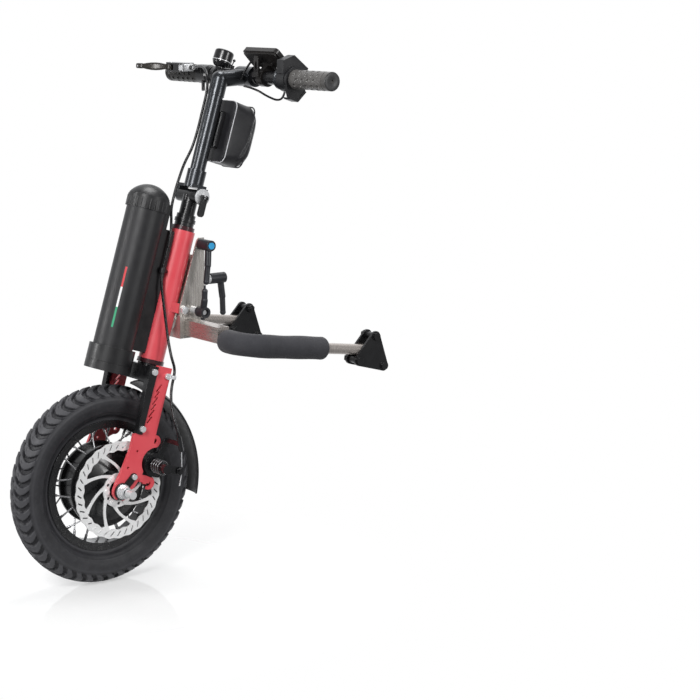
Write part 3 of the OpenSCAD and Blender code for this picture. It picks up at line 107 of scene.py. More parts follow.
# Finishes: each is a Principled shader whose colour and roughness vary over the surface, most with relief
class Finish:
    def __init__(self, name, metallic=0.0, specular=0.5, coat=0.0, coat_rough=0.1, sheen=0.0):
        self.material = bpy.data.materials.new(name)
        self.material.use_nodes = True
        self.tree = self.material.node_tree
        self.tree.nodes.clear()
        out = self.add("ShaderNodeOutputMaterial")
        self.shader = self.add("ShaderNodeBsdfPrincipled")
        self.tree.links.new(self.shader.outputs["BSDF"], out.inputs["Surface"])
        self.shader.inputs["Metallic"].default_value = metallic
        self.shader.inputs["Specular IOR Level"].default_value = specular
        self.shader.inputs["Coat Weight"].default_value = coat
        self.shader.inputs["Coat Roughness"].default_value = coat_rough
        self.shader.inputs["Sheen Weight"].default_value = sheen
        self.shader.inputs["Sheen Roughness"].default_value = 0.4
        self.place = self.add("ShaderNodeTexCoord").outputs["Object"]
        self.normal = None

    def add(self, kind, **inputs):
        node = self.tree.nodes.new(kind)
        for key, value in inputs.items():
            node.inputs[key.replace("_", " ")].default_value = value
        return node

    def link(self, source, node, key):
        self.tree.links.new(source, node.inputs[key])

    def stretched(self, scale, turn=(0, 0, 0)):
        mapping = self.add("ShaderNodeMapping")
        mapping.inputs["Scale"].default_value = scale
        mapping.inputs["Rotation"].default_value = turn
        self.link(self.place, mapping, "Vector")
        return mapping.outputs["Vector"]

    def noise(self, scale, detail=3.0, rough=0.55, place=None):
        node = self.add("ShaderNodeTexNoise", Scale=scale, Detail=detail, Roughness=rough)
        self.link(place or self.place, node, "Vector")
        return node.outputs["Fac"]

    def cells(self, scale):
        node = self.add("ShaderNodeTexVoronoi", Scale=scale)
        self.link(self.place, node, "Vector")
        return node.outputs["Distance"]

    def mapped(self, source, low, high, start=0.3, end=0.7):
        node = self.add("ShaderNodeMapRange")
        self.link(source, node, "Value")
        node.inputs["From Min"].default_value = start
        node.inputs["From Max"].default_value = end
        node.inputs["To Min"].default_value = low
        node.inputs["To Max"].default_value = high
        return node.outputs["Result"]

    def mixed(self, factor, low, high):
        node = self.tree.nodes.new("ShaderNodeMix")
        node.data_type = "RGBA"
        self.tree.links.new(factor, node.inputs[0])
        sockets = [s for s in node.inputs if s.type == "RGBA"]
        for socket, value in zip(sockets, (low, high)):
            if isinstance(value, tuple):
                socket.default_value = (*value, 1)
            else:
                self.tree.links.new(value, socket)
        return [s for s in node.outputs if s.type == "RGBA"][0]

    def worked(self, kind, source, other=None, vector=False):
        """The result of a maths node on a source and, if given, another source or a fixed value."""
        node = self.add("ShaderNodeVectorMath" if vector else "ShaderNodeMath")
        node.operation = kind
        self.link(source, node, 0)
        if isinstance(other, (float, tuple)):
            node.inputs[1].default_value = other
        elif other is not None:
            self.link(other, node, 1)
        return node.outputs["Vector" if vector and kind != "LENGTH" else "Value"]

    def colour(self, source):
        self.link(source, self.shader, "Base Color")

    def roughness(self, source):
        self.link(source, self.shader, "Roughness")

    def soft_edges(self, radius=0.0006):
        node = self.tree.nodes.new("ShaderNodeBevel")
        node.samples = 4
        node.inputs["Radius"].default_value = radius
        self.normal = node.outputs["Normal"]
        self.link(self.normal, self.shader, "Normal")

    def relief(self, height, depth, strength=1.0):
        node = self.add("ShaderNodeBump", Strength=strength, Distance=depth)
        self.link(height, node, "Height")
        if self.normal:
            self.link(self.normal, node, "Normal")
        self.normal = node.outputs["Normal"]
        self.link(self.normal, self.shader, "Normal")


def plain(name, low, high, rough, metallic=0.0, patch=25, grain=900, depth=0.00003, edges=True, **more):
    """A finish whose colour runs from low to high in soft patches, with a fine grain."""
    made = Finish(name, metallic, **more)
    patches = made.noise(patch)
    made.colour(made.mixed(made.mapped(patches, 0, 1), low, high))
    made.roughness(made.mapped(made.noise(patch * 3), *rough))
    if edges:
        made.soft_edges()
    made.relief(made.noise(grain, 2), depth)
    return made.material


def brushed(name, low, high, rough, stretch, edges=True, depth=0.00001, metallic=0.75):
    """A bare metal with fine scratches that run along the axis that stretch leaves small."""
    made = Finish(name, metallic)
    lines = made.noise(1, 4, 0.7, made.stretched(stretch))
    made.colour(made.mixed(made.mapped(lines, 0, 1), low, high))
    made.roughness(made.mapped(lines, *rough))
    if edges:
        made.soft_edges()
    made.relief(lines, depth)
    return made.material


def ring_brushed(name, low, high, rough, axis_point):
    """A bare metal turned or ground in rings round an X axis through axis_point."""
    made = Finish(name, 0.25)
    moved = made.worked("SUBTRACT", made.place, axis_point, vector=True)
    flat = made.worked("MULTIPLY", moved, (0, 1, 1), vector=True)
    rings = made.add("ShaderNodeTexNoise", Scale=2500.0, Detail=3.0)
    rings.noise_dimensions = "1D"
    made.link(made.worked("LENGTH", flat, vector=True), rings, "W")
    made.colour(made.mixed(made.mapped(rings.outputs["Fac"], 0, 1), low, high))
    made.roughness(made.mapped(rings.outputs["Fac"], *rough))
    made.soft_edges(0.0004)
    made.relief(rings.outputs["Fac"], 0.00001)
    return made.material


def two_tone(name, dark, bright, from_x, rough):
    """A steel that is black near the wheel and bright past from_x, as washers and nut ends are."""
    made = Finish(name, 0.4)
    soft = 0.0002
    parts = made.add("ShaderNodeSeparateXYZ")
    made.link(made.place, parts, "Vector")
    far = made.worked("ABSOLUTE", parts.outputs["X"])
    made.colour(made.mixed(made.mapped(far, 0, 1, from_x - soft, from_x + soft), dark, bright))
    made.roughness(made.mapped(made.noise(120), *rough))
    made.soft_edges()
    return made.material


def red_paint():
    made = Finish("red_paint", coat=0.35, coat_rough=0.12)
    made.colour(made.mixed(made.mapped(made.noise(14), 0, 1), (0.72, 0.065, 0.085), (0.80, 0.095, 0.115)))
    made.roughness(made.mapped(made.noise(40), 0.32, 0.42))
    made.soft_edges(0.0008)
    made.relief(made.noise(260, 2), 0.00003)
    return made.material


def tyre_height(made):
    """How far a point of the tyre lies from the middle circle of its casing."""
    moved = made.worked("SUBTRACT", made.place, (0, 0, WHEEL_R), vector=True)
    parts = made.add("ShaderNodeSeparateXYZ")
    made.link(moved, parts, "Vector")
    flat = made.worked("MULTIPLY", moved, (0, 1, 1), vector=True)
    outer = made.worked("SUBTRACT", made.worked("LENGTH", flat, vector=True), TYRE_MID_R)
    across = made.add("ShaderNodeCombineXYZ")
    made.link(parts.outputs["X"], across, "X")
    made.link(outer, across, "Y")
    return made.worked("LENGTH", across.outputs["Vector"], vector=True)


def rubber(name, low, high, rough, dust, lug_highlight=None):
    """Rubber with a fine skin and paler dust in patches. The last colour, if given, is the lighter tone of
    a tyre's lug tops, a painted highlight.
    """
    made = Finish(name, specular=0.4)
    skin = made.mixed(made.mapped(made.noise(45), 0, 1), low, high)
    if lug_highlight:
        # lug tops lighter than the grooves: painted highlight
        skin = made.mixed(made.mapped(tyre_height(made), 0, 1, 0.0262, 0.0282), skin, lug_highlight)
    made.colour(made.mixed(made.mapped(made.noise(160, 5, 0.7), 0, 0.5, 0.5, 0.8), skin, dust))
    made.roughness(made.mapped(made.noise(80), *rough))
    made.relief(made.noise(1400, 3), 0.00006)
    return made.material


def foam_finish():
    made = Finish("foam", specular=0.25, sheen=0.15)
    cells = made.cells(1100)
    shade = made.mixed(made.mapped(made.noise(35, 4), 0, 1), (0.022, 0.022, 0.026), (0.040, 0.040, 0.045))
    made.colour(made.mixed(made.mapped(cells, 0, 1, 0.2, 0.9), shade, (0.062, 0.062, 0.069)))
    made.roughness(made.mapped(cells, 0.82, 0.95))
    made.relief(cells, 0.0004, 0.8)
    return made.material


def woven(name, low, high, pitch=0.0011):
    """Cloth of two crossing sets of threads."""
    made = Finish(name, specular=0.3, sheen=0.2)
    waves = []
    for turn in (0.8, -0.8):
        node = made.add("ShaderNodeTexWave", Scale=0.5 / pitch / 2, Distortion=0.6, Detail=1.0)
        made.link(made.stretched((1, 1, 1), (turn, 0.3, turn)), node, "Vector")
        waves.append(node.outputs["Fac"])
    crossed = made.worked("MAXIMUM", waves[0], waves[1])
    shade = made.mixed(made.mapped(made.noise(30, 4), 0, 1), low, high)
    made.colour(made.mixed(made.mapped(crossed, 0, 0.6, 0, 1), shade, high))
    made.roughness(made.mapped(made.noise(60), 0.62, 0.8))
    made.relief(crossed, 0.00025, 0.7)
    return made.material


# Every finish by the name that pieces call it
M = {
    "red": red_paint(),
    "black_paint": plain("black_paint", (0.005, 0.005, 0.006), (0.010, 0.010, 0.011), (0.24, 0.36),
                         coat=0.25),
    "alloy": plain("black_alloy", (0.005, 0.005, 0.006), (0.011, 0.011, 0.012), (0.22, 0.34), coat=0.3),
    "lever_alloy": plain("lever_alloy", (0.012, 0.010, 0.008), (0.026, 0.022, 0.017), (0.22, 0.34), 0.3,
                         coat=0.3),
    "stem": plain("stem_alloy", (0.036, 0.039, 0.044), (0.050, 0.054, 0.060), (0.26, 0.34), 0.8, coat=0.3),
    "dark_ring": plain("dark_ring", (0.030, 0.010, 0.012), (0.055, 0.016, 0.020), (0.18, 0.28), coat=0.5),
    "silver": brushed("silver_steel", (0.72, 0.73, 0.75), (0.90, 0.91, 0.92), (0.18, 0.30), (900, 90, 90),
                      metallic=0.5),
    "axle": two_tone("axle_steel", (0.010, 0.010, 0.011), (0.80, 0.81, 0.82), 0.0795, (0.18, 0.28)),
    "disc": ring_brushed("disc_steel", (0.80, 0.80, 0.80), (0.97, 0.97, 0.97), (0.26, 0.40),
                         (0, 0, WHEEL_R)),
    "dock": brushed("dock_steel", (0.54, 0.50, 0.46), (0.72, 0.69, 0.65), (0.22, 0.34), (500, 500, 25)),
    "arm": brushed("arm_steel", (0.50, 0.45, 0.42), (0.66, 0.61, 0.57), (0.20, 0.32), (25, 500, 500)),
    "plain_steel": brushed("plain_steel", (0.26, 0.27, 0.28), (0.40, 0.41, 0.42), (0.30, 0.45),
                           (80, 80, 600)),
    "blued": plain("blued_steel", (0.12, 0.12, 0.125), (0.22, 0.22, 0.23), (0.14, 0.24), 0.7, coat=0.4,
                   edges=False),
    "spoke": brushed("spoke_steel", (0.20, 0.20, 0.21), (0.52, 0.52, 0.53), (0.22, 0.34), (60, 60, 60),
                     edges=False),
    "bearing": brushed("bearing_steel", (0.62, 0.62, 0.62), (0.78, 0.78, 0.78), (0.15, 0.25), (60, 60, 60)),
    "stator": plain("stator_steel", (0.30, 0.22, 0.15), (0.48, 0.36, 0.25), (0.4, 0.55), 0.8),
    # the last colour is a painted highlight on the lug tops
    "tyre": rubber("tyre_rubber", (0.018, 0.018, 0.021), (0.030, 0.030, 0.034), (0.46, 0.62),
                   (0.060, 0.060, 0.062), (0.060, 0.060, 0.066)),
    "grip": rubber("grip_rubber", (0.075, 0.072, 0.070), (0.12, 0.115, 0.11), (0.24, 0.34),
                   (0.17, 0.165, 0.16)),
    # a darker copy of the grip rubber for the far grip: painted shade under the perch
    "grip_painted_shade": rubber("grip_rubber_painted_shade", (0.012, 0.011, 0.010), (0.024, 0.022, 0.020), (0.26, 0.36),
                       (0.04, 0.038, 0.035)),
    "grip_cap": plain("grip_cap", (0.030, 0.030, 0.031), (0.045, 0.045, 0.046), (0.40, 0.52), edges=False),
    "cable": rubber("cable_rubber", (0.005, 0.005, 0.006), (0.010, 0.010, 0.011), (0.22, 0.34),
                    (0.020, 0.020, 0.021)),
    "foam": foam_finish(),
    "plastic": plain("matte_black", (0.007, 0.007, 0.008), (0.014, 0.014, 0.016), (0.30, 0.44),
                     depth=0.00005),
    "battery": plain("battery_black", (0.008, 0.008, 0.009), (0.012, 0.012, 0.014), (0.40, 0.50),
                     grain=1500, depth=0.00006),
    "cap": plain("cap_black", (0.008, 0.008, 0.009), (0.014, 0.014, 0.015), (0.36, 0.48), coat=0.08),
    "display": plain("display_black", (0.010, 0.009, 0.009), (0.020, 0.017, 0.016), (0.24, 0.36), coat=0.2),
    "lever": plain("lever_grey", (0.016, 0.017, 0.021), (0.028, 0.029, 0.035), (0.34, 0.46), depth=0.00006),
    "blue": plain("button_blue", (0.02, 0.30, 0.62), (0.05, 0.42, 0.78), (0.22, 0.32), coat=0.4),
    "grey": plain("button_grey", (0.10, 0.11, 0.13), (0.15, 0.16, 0.18), (0.4, 0.5)),
    "cell": plain("cell_blue", (0.08, 0.26, 0.46), (0.12, 0.34, 0.58), (0.25, 0.35)),
    "pouch": woven("pouch_fabric", (0.020, 0.020, 0.023), (0.040, 0.040, 0.046)),
    "shell": plain("pouch_shell", (0.006, 0.006, 0.008), (0.014, 0.014, 0.017), (0.34, 0.50), grain=1100,
                   depth=0.00012, edges=False, sheen=0.15),
    "piping": plain("piping", (0.42, 0.42, 0.44), (0.60, 0.60, 0.62), (0.42, 0.6), edges=False),
    "chrome": plain("chrome", (0.84, 0.85, 0.86), (0.94, 0.95, 0.96), (0.10, 0.18), 0.35),
    "stripe_red": plain("stripe_red", (0.55, 0.012, 0.02), (0.66, 0.02, 0.03), (0.35, 0.45), edges=False),
    "stripe_white": plain("stripe_white", (0.74, 0.74, 0.74), (0.82, 0.82, 0.82), (0.35, 0.45),
                          edges=False),
    "stripe_green": plain("stripe_green", (0.01, 0.27, 0.12), (0.02, 0.34, 0.16), (0.35, 0.45),
                          edges=False),
}

# Nodes that wear each finish
node_finish = {
    "red": ["head_tube", "fork_plates"],
    "dark_ring": ["headset_cups"],
    "plastic": ["battery_rail", "cable_clip", "mudguard", "qr_lever", "throttle_body", "throttle_paddle",
                "bell_striker"],
    "battery": ["battery_case"],
    "cap": ["battery_top_cap", "battery_foot"],
    "cell": ["battery_cells"],
    "silver": ["dock_pivot_bolt", "lever_studs", "fork_fasteners", "tilt_bolt"],
    "axle": ["axle"],
    "dock": ["dock_channel", "arm_socket"],
    "arm": ["left_arm_tube", "right_arm_tube"],
    "lever": ["upper_lever", "rear_lever", "lower_lever"],
    "blue": ["upper_button", "rear_button"],
    "foam": ["left_foam", "right_foam"],
    "alloy": ["left_clamp", "right_clamp", "lower_stem", "rim", "hub_shell", "hub_cover", "handlebar",
              "brake_perch", "brake_lever", "bell", "caliper_body", "caliper_arm"],
    "stem": ["stem_tube"],
    "plain_steel": ["steerer_tube"],
    "black_paint": ["fork_crown", "fork_struts"],
    "stator": ["motor_stator"],
    "blued": ["caliper_spring", "motor_magnets"],
    "tyre": ["tyre"],
    "spoke": ["spokes"],
    "bearing": ["hub_bearings"],
    "disc": ["brake_rotor"],
    "grip": ["grips"],
    "display": ["display"],
    "grey": ["display_button"],
    "pouch": ["pouch"],
    "cable": ["brake_cable_upper", "brake_cable_lower", "bar_leads"],
}


def paint(obj, finish):
    obj.data.materials.clear()
    obj.data.materials.append(M[finish])


for finish, names in node_finish.items():
    for name in names:
        paint(nodes[name], finish)


# Mesh helpers
def mesh_piece(name, points, faces, finish, body, place, smooth=True):
    """A new mesh that rides on body, if one is given. points are in metres in the frame of place."""
    data = bpy.data.meshes.new(name)
    data.from_pydata([tuple(p) for p in points], [], faces)
    data.validate()
    data.transform(place)
    obj = placed(name, data)
    data.materials.append(M[finish])
    if smooth:
        data.shade_smooth()
    outward(obj)
    if body:
        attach(obj, body)
    return obj


def outward(obj):
    """Turns all faces of a closed mesh outwards."""
    made = bmesh.new()
    made.from_mesh(obj.data)
    bmesh.ops.recalc_face_normals(made, faces=made.faces)
    made.to_mesh(obj.data)
    made.free()


def sharp_by_angle(obj, degrees=38):
    """Smooth shading that breaks where two faces meet at more than this angle."""
    made = bmesh.new()
    made.from_mesh(obj.data)
    for edge in made.edges:
        if len(edge.link_faces) == 2:
            edge.smooth = edge.calc_face_angle(0) < math.radians(degrees)
    made.to_mesh(obj.data)
    made.free()


def circle(count):
    """Cosine and sine of count equal turns."""
    turns = [2 * math.pi * k / count for k in range(count)]
    return [(math.cos(a), math.sin(a)) for a in turns]


def squarish(c, s, power):
    """A point of the unit circle moved out towards the corners of a square."""
    return math.copysign(abs(c) ** power, c), math.copysign(abs(s) ** power, s)


def row_of(rows, i, count):
    """One face over row i of rows that have count points each. Row -1 is the last."""
    return tuple((i % rows) * count + k for k in range(count))


def ring_faces(rows, count, closed_rows=False):
    """Quads between rows of count points each, where each row closes on itself."""
    faces = []
    last = rows if closed_rows else rows - 1
    for i in range(last):
        for k in range(count):
            a = i * count + k
            b = i * count + (k + 1) % count
            c = ((i + 1) % rows) * count + (k + 1) % count
            d = ((i + 1) % rows) * count + k
            faces.append((a, b, c, d))
    return faces


def capped_faces(rows, count):
    """Quads between rows of count points each, and a flat face over each end."""
    return ring_faces(rows, count) + [row_of(rows, 0, count), row_of(rows, -1, count)]


def lathe(name, profile, steps, finish, body, place, axis="X"):
    """Turns a profile of (along, radius) pairs round an axis."""
    points = []
    for along, radius in profile:
        for c, s in circle(steps):
            u, v = radius * c, radius * s
            points.append((along, u, v) if axis == "X" else (u, v, along))
    obj = mesh_piece(name, points, capped_faces(len(profile), steps), finish, body, place)
    sharp_by_angle(obj)


def smooth_path(points, steps):
    """Points along a smooth curve through the given ones."""
    p = [Vector(q) for q in points]
    n = len(p) - 1
    out = []
    for i in range(n):
        a, b, c, d = p[max(i - 1, 0)], p[i], p[i + 1], p[min(i + 2, n)]
        for s in range(steps):
            t = s / steps
            out.append(0.5 * (2 * b + t * (c - a) + t * t * (2 * a - 5 * b + 4 * c - d)
                              + t * t * t * (3 * b - 3 * c + d - a)))
    return out + [p[n]]


def swept(points, radius, sides):
    """Points and faces of a tube along a path, with flat ends."""
    count = len(points)
    tangents = [(points[min(i + 1, count - 1)] - points[max(i - 1, 0)]).normalized() for i in range(count)]
    normal = tangents[0].cross(Vector((0.31, 0.87, 0.39))).normalized()
    rows = []
    for i in range(count):
        t = tangents[i]
        normal = (normal - normal.dot(t) * t).normalized()
        side = t.cross(normal)
        for c, s in circle(sides):
            rows.append(points[i] + radius * (c * normal + s * side))
    return rows, capped_faces(count, sides)


def tube(name, points, radius, sides, finish, body, place):
    rows, faces = swept(points, radius, sides)
    obj = mesh_piece(name, rows, faces, finish, body, place)
    sharp_by_angle(obj, 50)
    return obj


def block(name, low, high, soft, finish, body, place):
    """A box with rounded edges. low, high and soft are in mm."""
    data = bpy.data.meshes.new(name)
    made = bmesh.new()
    bmesh.ops.create_cube(made, size=1)
    for vert in made.verts:
        vert.co = Vector([(low[i] + high[i]) / 2 + vert.co[i] * (high[i] - low[i]) for i in range(3)]) * MM
    bmesh.ops.bevel(made, geom=made.edges[:] + made.verts[:], offset=soft * MM, segments=3, affect="EDGES")
    made.to_mesh(data)
    made.free()
    data.transform(place)
    obj = placed(name, data)
    data.materials.append(M[finish])
    data.shade_smooth()
    sharp_by_angle(obj, 32)
    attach(obj, body)


def slotted_plate(name, centre, size, slot_size, thick, finish, body, place):
    """An upright rounded plate across Y with a long hole. Sizes are X and Z, in mm."""
    sides = 48
    rows = []
    for shape, y in ((size, 0), (size, thick), (slot_size, thick), (slot_size, 0)):
        for c, s in circle(sides):
            u, w = squarish(c, s, 0.5)
            x = centre[0] + u * shape[0] / 2
            z = centre[2] + w * shape[1] / 2
            rows.append(Vector((x, centre[1] + y, z)) * MM)
    obj = mesh_piece(name, rows, ring_faces(4, sides, closed_rows=True), finish, body, place)
    sharp_by_angle(obj)


def turned(name, profile, at, finish, body, place, steps=48):
    """A lathe piece along X from (along, radius) pairs in mm, set at a point in mm."""
    moved = place @ Matrix.Translation(Vector(at) * MM)
    lathe(name, [(a * MM, r * MM) for a, r in profile], steps, finish, body, moved)


def millimetres(points):
    return [Vector(p) * MM for p in points]


# Brake cable from the perch to the clip on the head tube, on to the adjuster, and its bare wire.
# It is held at the perch, the clip, the fork and the adjuster, so it isn't a free cord.
UPPER_ROUTE = [(-104, 14, 696), (-90, 9, 697), (-72, 2, 697), (-50, -5, 694), (-30, -10, 686),
               (-17, -12, 672), (-13.6, -9.8, 650), (-13, -9.6, 616), (-13, -9.8, 582), (-13.5, -12, 555),
               (-14, -18, 530), (-11, -23, 510), (-7, -28, 479), (-1, -31, 450), (7, -31, 430),
               (13, -30, 408), (14, -29, 380), (14, -29, 352)]
LOWER_ROUTE = [(14, -29, 344), (17, -26, 324), (22, -18, 298), (29, -9, 268), (38, -2, 240), (50, 3, 216),
               (61, 5, 202), (67, 4.5, 193), (68.5, 4.5, 184), (69.5, 4.3, 172), (73, 4, 158),
               (79.5, 4.5, 143), (88, 6.5, 129), (95.5, 10, 114), (100, 14.5, 103), (101, 19.3, 93.9)]
CABLE_R = 0.0023
WIRE_R = 0.0008
WIRE_END_R = 0.0013
LEAD_R = 0.0018
CABLE_JOINT_Z = 0.440
STOP_UP = Vector((0, -math.sin(math.radians(27.5)), math.cos(math.radians(27.5))))
STOP = Vector((0.101, 0.025, 0.083))
WIRE_ROUTE = [STOP, STOP - 0.013 * STOP_UP, Vector((0.101, 0.0407, 0.041)), Vector((0.101, 0.0432, 0.020))]


def cable(name, path):
    """A stretch of the brake cable in the steering frame, on no body."""
    return tube(name, path, CABLE_R, 16, "cable", None, STEER)


def make_brake_cable():
    upper = smooth_path(millimetres(UPPER_ROUTE), 6)
    lower = smooth_path(millimetres(LOWER_ROUTE), 6)
    split = upper.index(min(upper, key=lambda p: abs(p.z - CABLE_JOINT_Z)))
    bar_stretch = cable("brake_cable_bar", upper[:split + 1])
    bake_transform(bar_stretch)
    clip_stretch = cable("brake_cable_stack", upper[split:])
    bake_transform(clip_stretch)
    fork_stretch = cable("brake_cable_fork", lower)
    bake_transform(fork_stretch)
    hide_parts("brake_cable_upper")
    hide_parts("brake_cable_lower")
    wire = tube("brake_wire", smooth_path(WIRE_ROUTE, 8), WIRE_R, 12, "silver", None, STEER)
    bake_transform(wire)
    wire_end = WIRE_ROUTE[3]
    tip = smooth_path([wire_end - Vector((0, -0.0002, 0.003)), wire_end - Vector((0, 0, -0.001))], 3)
    tube("brake_wire_end", tip, WIRE_END_R, 12, "silver", "caliper_arm", STEER)


make_brake_cable()


# Leads from the throttle and the display, tied to the bar
THROTTLE_LEAD = [(109, -5.6, -20.95), (108, -9, -29), (102, -10, -33), (90, -9, -34), (76, -8, -32),
                 (60, -8, -28), (44, -10, -22), (30, -16, -17), (20, -23, -14)]
DISPLAY_LEAD = [(29, -15, 25), (25, -19, 17), (19, -22, 6), (15, -25, -5)]


def make_lead(name, route):
    path = smooth_path(millimetres(route), 8)
    return tube(name, path, LEAD_R, 14, "cable", "upper", BAR)


lead = make_lead("throttle_lead", THROTTLE_LEAD)
make_lead("display_lead", DISPLAY_LEAD)
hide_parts("bar_leads")


# Tyre with S-shaped lugs across its crown
LUGS = 48
LUG_DEPTH = 0.0046
TREAD_EDGE = 60
WALL_RIBS = ((72, 0.0005), (76, 0.0005), (118, 0.0009), (132, 0.0012))
BEAD = [(0.0136, 0.1068), (0.0132, 0.1022), (-0.0132, 0.1022), (-0.0136, 0.1068)]


def smooth_step(low, high, x):
    t = min(1.0, max(0.0, (x - low) / (high - low)))
    return t * t * (3 - 2 * t)


def lug_height(side, turn):
    """How far the tread stands above its grooves, from 0 to 1.

    side runs from -1 to 1 across the tread, and turn counts lug pitches round the wheel.
    """
    sweep = 0.62 * math.sin(side * math.pi * 0.95) + 0.30 * side
    across = (turn + sweep) % 1.0
    from_groove = min(across, 1 - across)
    half = 0.12 + 0.07 * abs(side)
    high = smooth_step(half, half + 0.06, from_groove)
    sipe = abs(across - 0.5) + 0.4 * abs(abs(side) - 0.30)
    high *= 1 - 0.6 * (1 - smooth_step(0.025, 0.06, sipe))
    bridge = 0.5 + 0.5 * math.sin(2 * math.pi * turn)
    return high * (1 - 0.8 * (1 - smooth_step(0.02, 0.06, abs(side))) * bridge)


def tyre_radius(angle, turn):
    """How far the outer face is from the casing's middle, at an angle from the crown in degrees."""
    flat = abs(angle)
    edge = 1 - smooth_step(TREAD_EDGE - 3, TREAD_EDGE + 6, flat)
    wall = TYRE_R - 0.0018 - 0.0008 * smooth_step(70, 110, flat)
    for ring, high in WALL_RIBS:
        wall += high * math.exp(-((flat - ring) / 1.8) ** 2)
    tread = TYRE_R - LUG_DEPTH + LUG_DEPTH * lug_height(angle / TREAD_EDGE, turn) if edge > 0 else wall
    return wall + (tread - wall) * edge


def make_tyre():
    round_steps = LUGS * 14
    wall_angles = list(np.linspace(68, 146, 20))
    angles = list(np.linspace(-146, -68, 20)) + list(np.linspace(-65.5, 65.5, 59)) + wall_angles
    points = []
    for j in range(round_steps):
        turn = j * LUGS / round_steps
        spin = 2 * math.pi * j / round_steps
        ring = []
        for angle in angles:
            r = tyre_radius(angle, turn)
            a = math.radians(angle)
            ring.append((r * math.sin(a), TYRE_MID_R + r * math.cos(a)))
        for x, radius in ring + BEAD:
            points.append((x, radius * math.sin(spin), radius * math.cos(spin)))
    faces = ring_faces(round_steps, len(angles) + len(BEAD), closed_rows=True)
    tyre = mesh_piece("tyre_tread", points, faces, "tyre", "wheel", AXLE)
    sharp_by_angle(tyre, 60)
    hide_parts("tyre")


make_tyre()


# Foam sleeves on the arms
ARM_REACH = 0.178
ARM_BEND = 0.036
FOAM_R = 0.019
FOAM_START = 0.1215
FOAM_END = 0.162
FOAM_BORE = 0.0094
FOAM_ROUND = 0.009


def arm_path(start, end, step=0.003):
    """Points along an arm's middle line, from x = start on its first run to y = end on its last run."""
    corner = ARM_REACH - ARM_BEND
    path = []
    first = max(2, int((corner - start) / step))
    for i in range(first):
        path.append(Vector((start + (corner - start) * i / first, 0, 0)))
    turns = 24
    for i in range(turns):
        a = math.pi / 2 * i / turns
        path.append(Vector((corner + ARM_BEND * math.sin(a), ARM_BEND * (1 - math.cos(a)), 0)))
    last = max(2, int((end - ARM_BEND) / step))
    for i in range(last + 1):
        path.append(Vector((ARM_REACH, ARM_BEND + (end - ARM_BEND) * i / last, 0)))
    return path


def make_foam(name, node, body, flip):
    path = arm_path(FOAM_START, FOAM_END)
    travelled = [0.0]
    for a, b in zip(path, path[1:]):
        travelled.append(travelled[-1] + (b - a).length)
    total = travelled[-1]
    count = len(path)
    sides = 64
    tangents = [(path[min(i + 1, count - 1)] - path[max(i - 1, 0)]).normalized() for i in range(count)]
    up = Vector((0, 0, 1))
    rows = []

    def ring(centre, tangent, radius, wobble):
        side = up.cross(tangent).normalized()
        for k in range(sides):
            a = 2 * math.pi * k / sides
            ripple = math.sin(3 * a + 60 * centre.y) + 0.6 * math.sin(5 * a - 90 * centre.x)
            r = radius + wobble * ripple * 0.00022
            rows.append(centre + r * (math.cos(a) * up + math.sin(a) * side))

    flat_end = FOAM_R - FOAM_ROUND
    hollow = 0.0006
    end_rings = []
    for share in (0.0, 0.35, 0.7):
        end_rings.append((hollow * (1 - share), FOAM_BORE + share * (flat_end - FOAM_BORE), 0))
    for k in range(9):
        a = math.pi / 2 * k / 8
        radius = flat_end + FOAM_ROUND * math.sin(a) - 0.0002
        end_rings.append((FOAM_ROUND * (1 - math.cos(a)), radius, 0.3))
    for inward, radius, wobble in end_rings:
        ring(path[0] + tangents[0] * inward, tangents[0], radius, wobble)
    for i in range(count):
        if FOAM_ROUND + 0.001 < travelled[i] < total - FOAM_ROUND - 0.001:
            swell = 0.0003 * math.sin(travelled[i] * 95) - 0.0002
            ring(path[i], tangents[i], FOAM_R + swell, 1)
    for inward, radius, wobble in reversed(end_rings):
        ring(path[-1] - tangents[-1] * inward, tangents[-1], radius, wobble)
    inset = 0.006
    ring(path[-1] - tangents[-1] * inset, tangents[-1], FOAM_BORE, 0)
    back = [i for i in range(count) if inset < travelled[i] < total - inset]
    for i in reversed(back[::3]):
        ring(path[i], tangents[i], FOAM_BORE, 0)
    if flip:
        rows = [Vector((-p.x, p.y, p.z)) for p in rows]
    faces = ring_faces(len(rows) // sides, sides, closed_rows=True)
    foam = mesh_piece(name, rows, faces, "foam", body, ARM)
    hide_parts(node)


make_foam("left_foam_sleeve", "left_foam", "left_arm", False)
make_foam("right_foam_sleeve", "right_foam", "right_arm", True)


# Grips with rows of round dimples
GRIP_IN = 0.132
GRIP_OUT = 0.226
GRIP_R = 0.01525
GRIP_BORE_R = 0.01115
GRIP_FLANGE_R = 0.016
CAP_DEPTH = 0.0012
DIMPLE_ROWS = 10
DIMPLE_PITCH = 0.0150
DIMPLE_DEPTH = 0.0021
DIMPLE_REACH = 0.33


def grip_radius(x, angle):
    """Radius of a grip at a place along the bar and round it."""
    r = GRIP_R
    if x < GRIP_IN + 0.003:
        return GRIP_FLANGE_R
    if GRIP_OUT - 0.013 < x < GRIP_OUT - 0.0115:
        r -= 0.0009
    if x > GRIP_OUT - 0.0115:
        return r + 0.0001
    half = DIMPLE_PITCH / 2
    for row in range(DIMPLE_ROWS):
        centre = 2 * math.pi * row / DIMPLE_ROWS
        off = (angle - centre + math.pi) % (2 * math.pi) - math.pi
        if abs(off) > DIMPLE_REACH:
            continue
        shift = GRIP_IN + 0.011 + (half if row % 2 else 0)
        along = (x - shift + half) % DIMPLE_PITCH - half
        if shift - half < x < GRIP_OUT - 0.018:
            d = math.hypot(along, off * r)
            lip = 0.0003 * math.exp(-((d - 0.0041) / 0.0006) ** 2)
            r -= DIMPLE_DEPTH * (1 - smooth_step(0.0014, 0.0036, d)) - lip
    return r


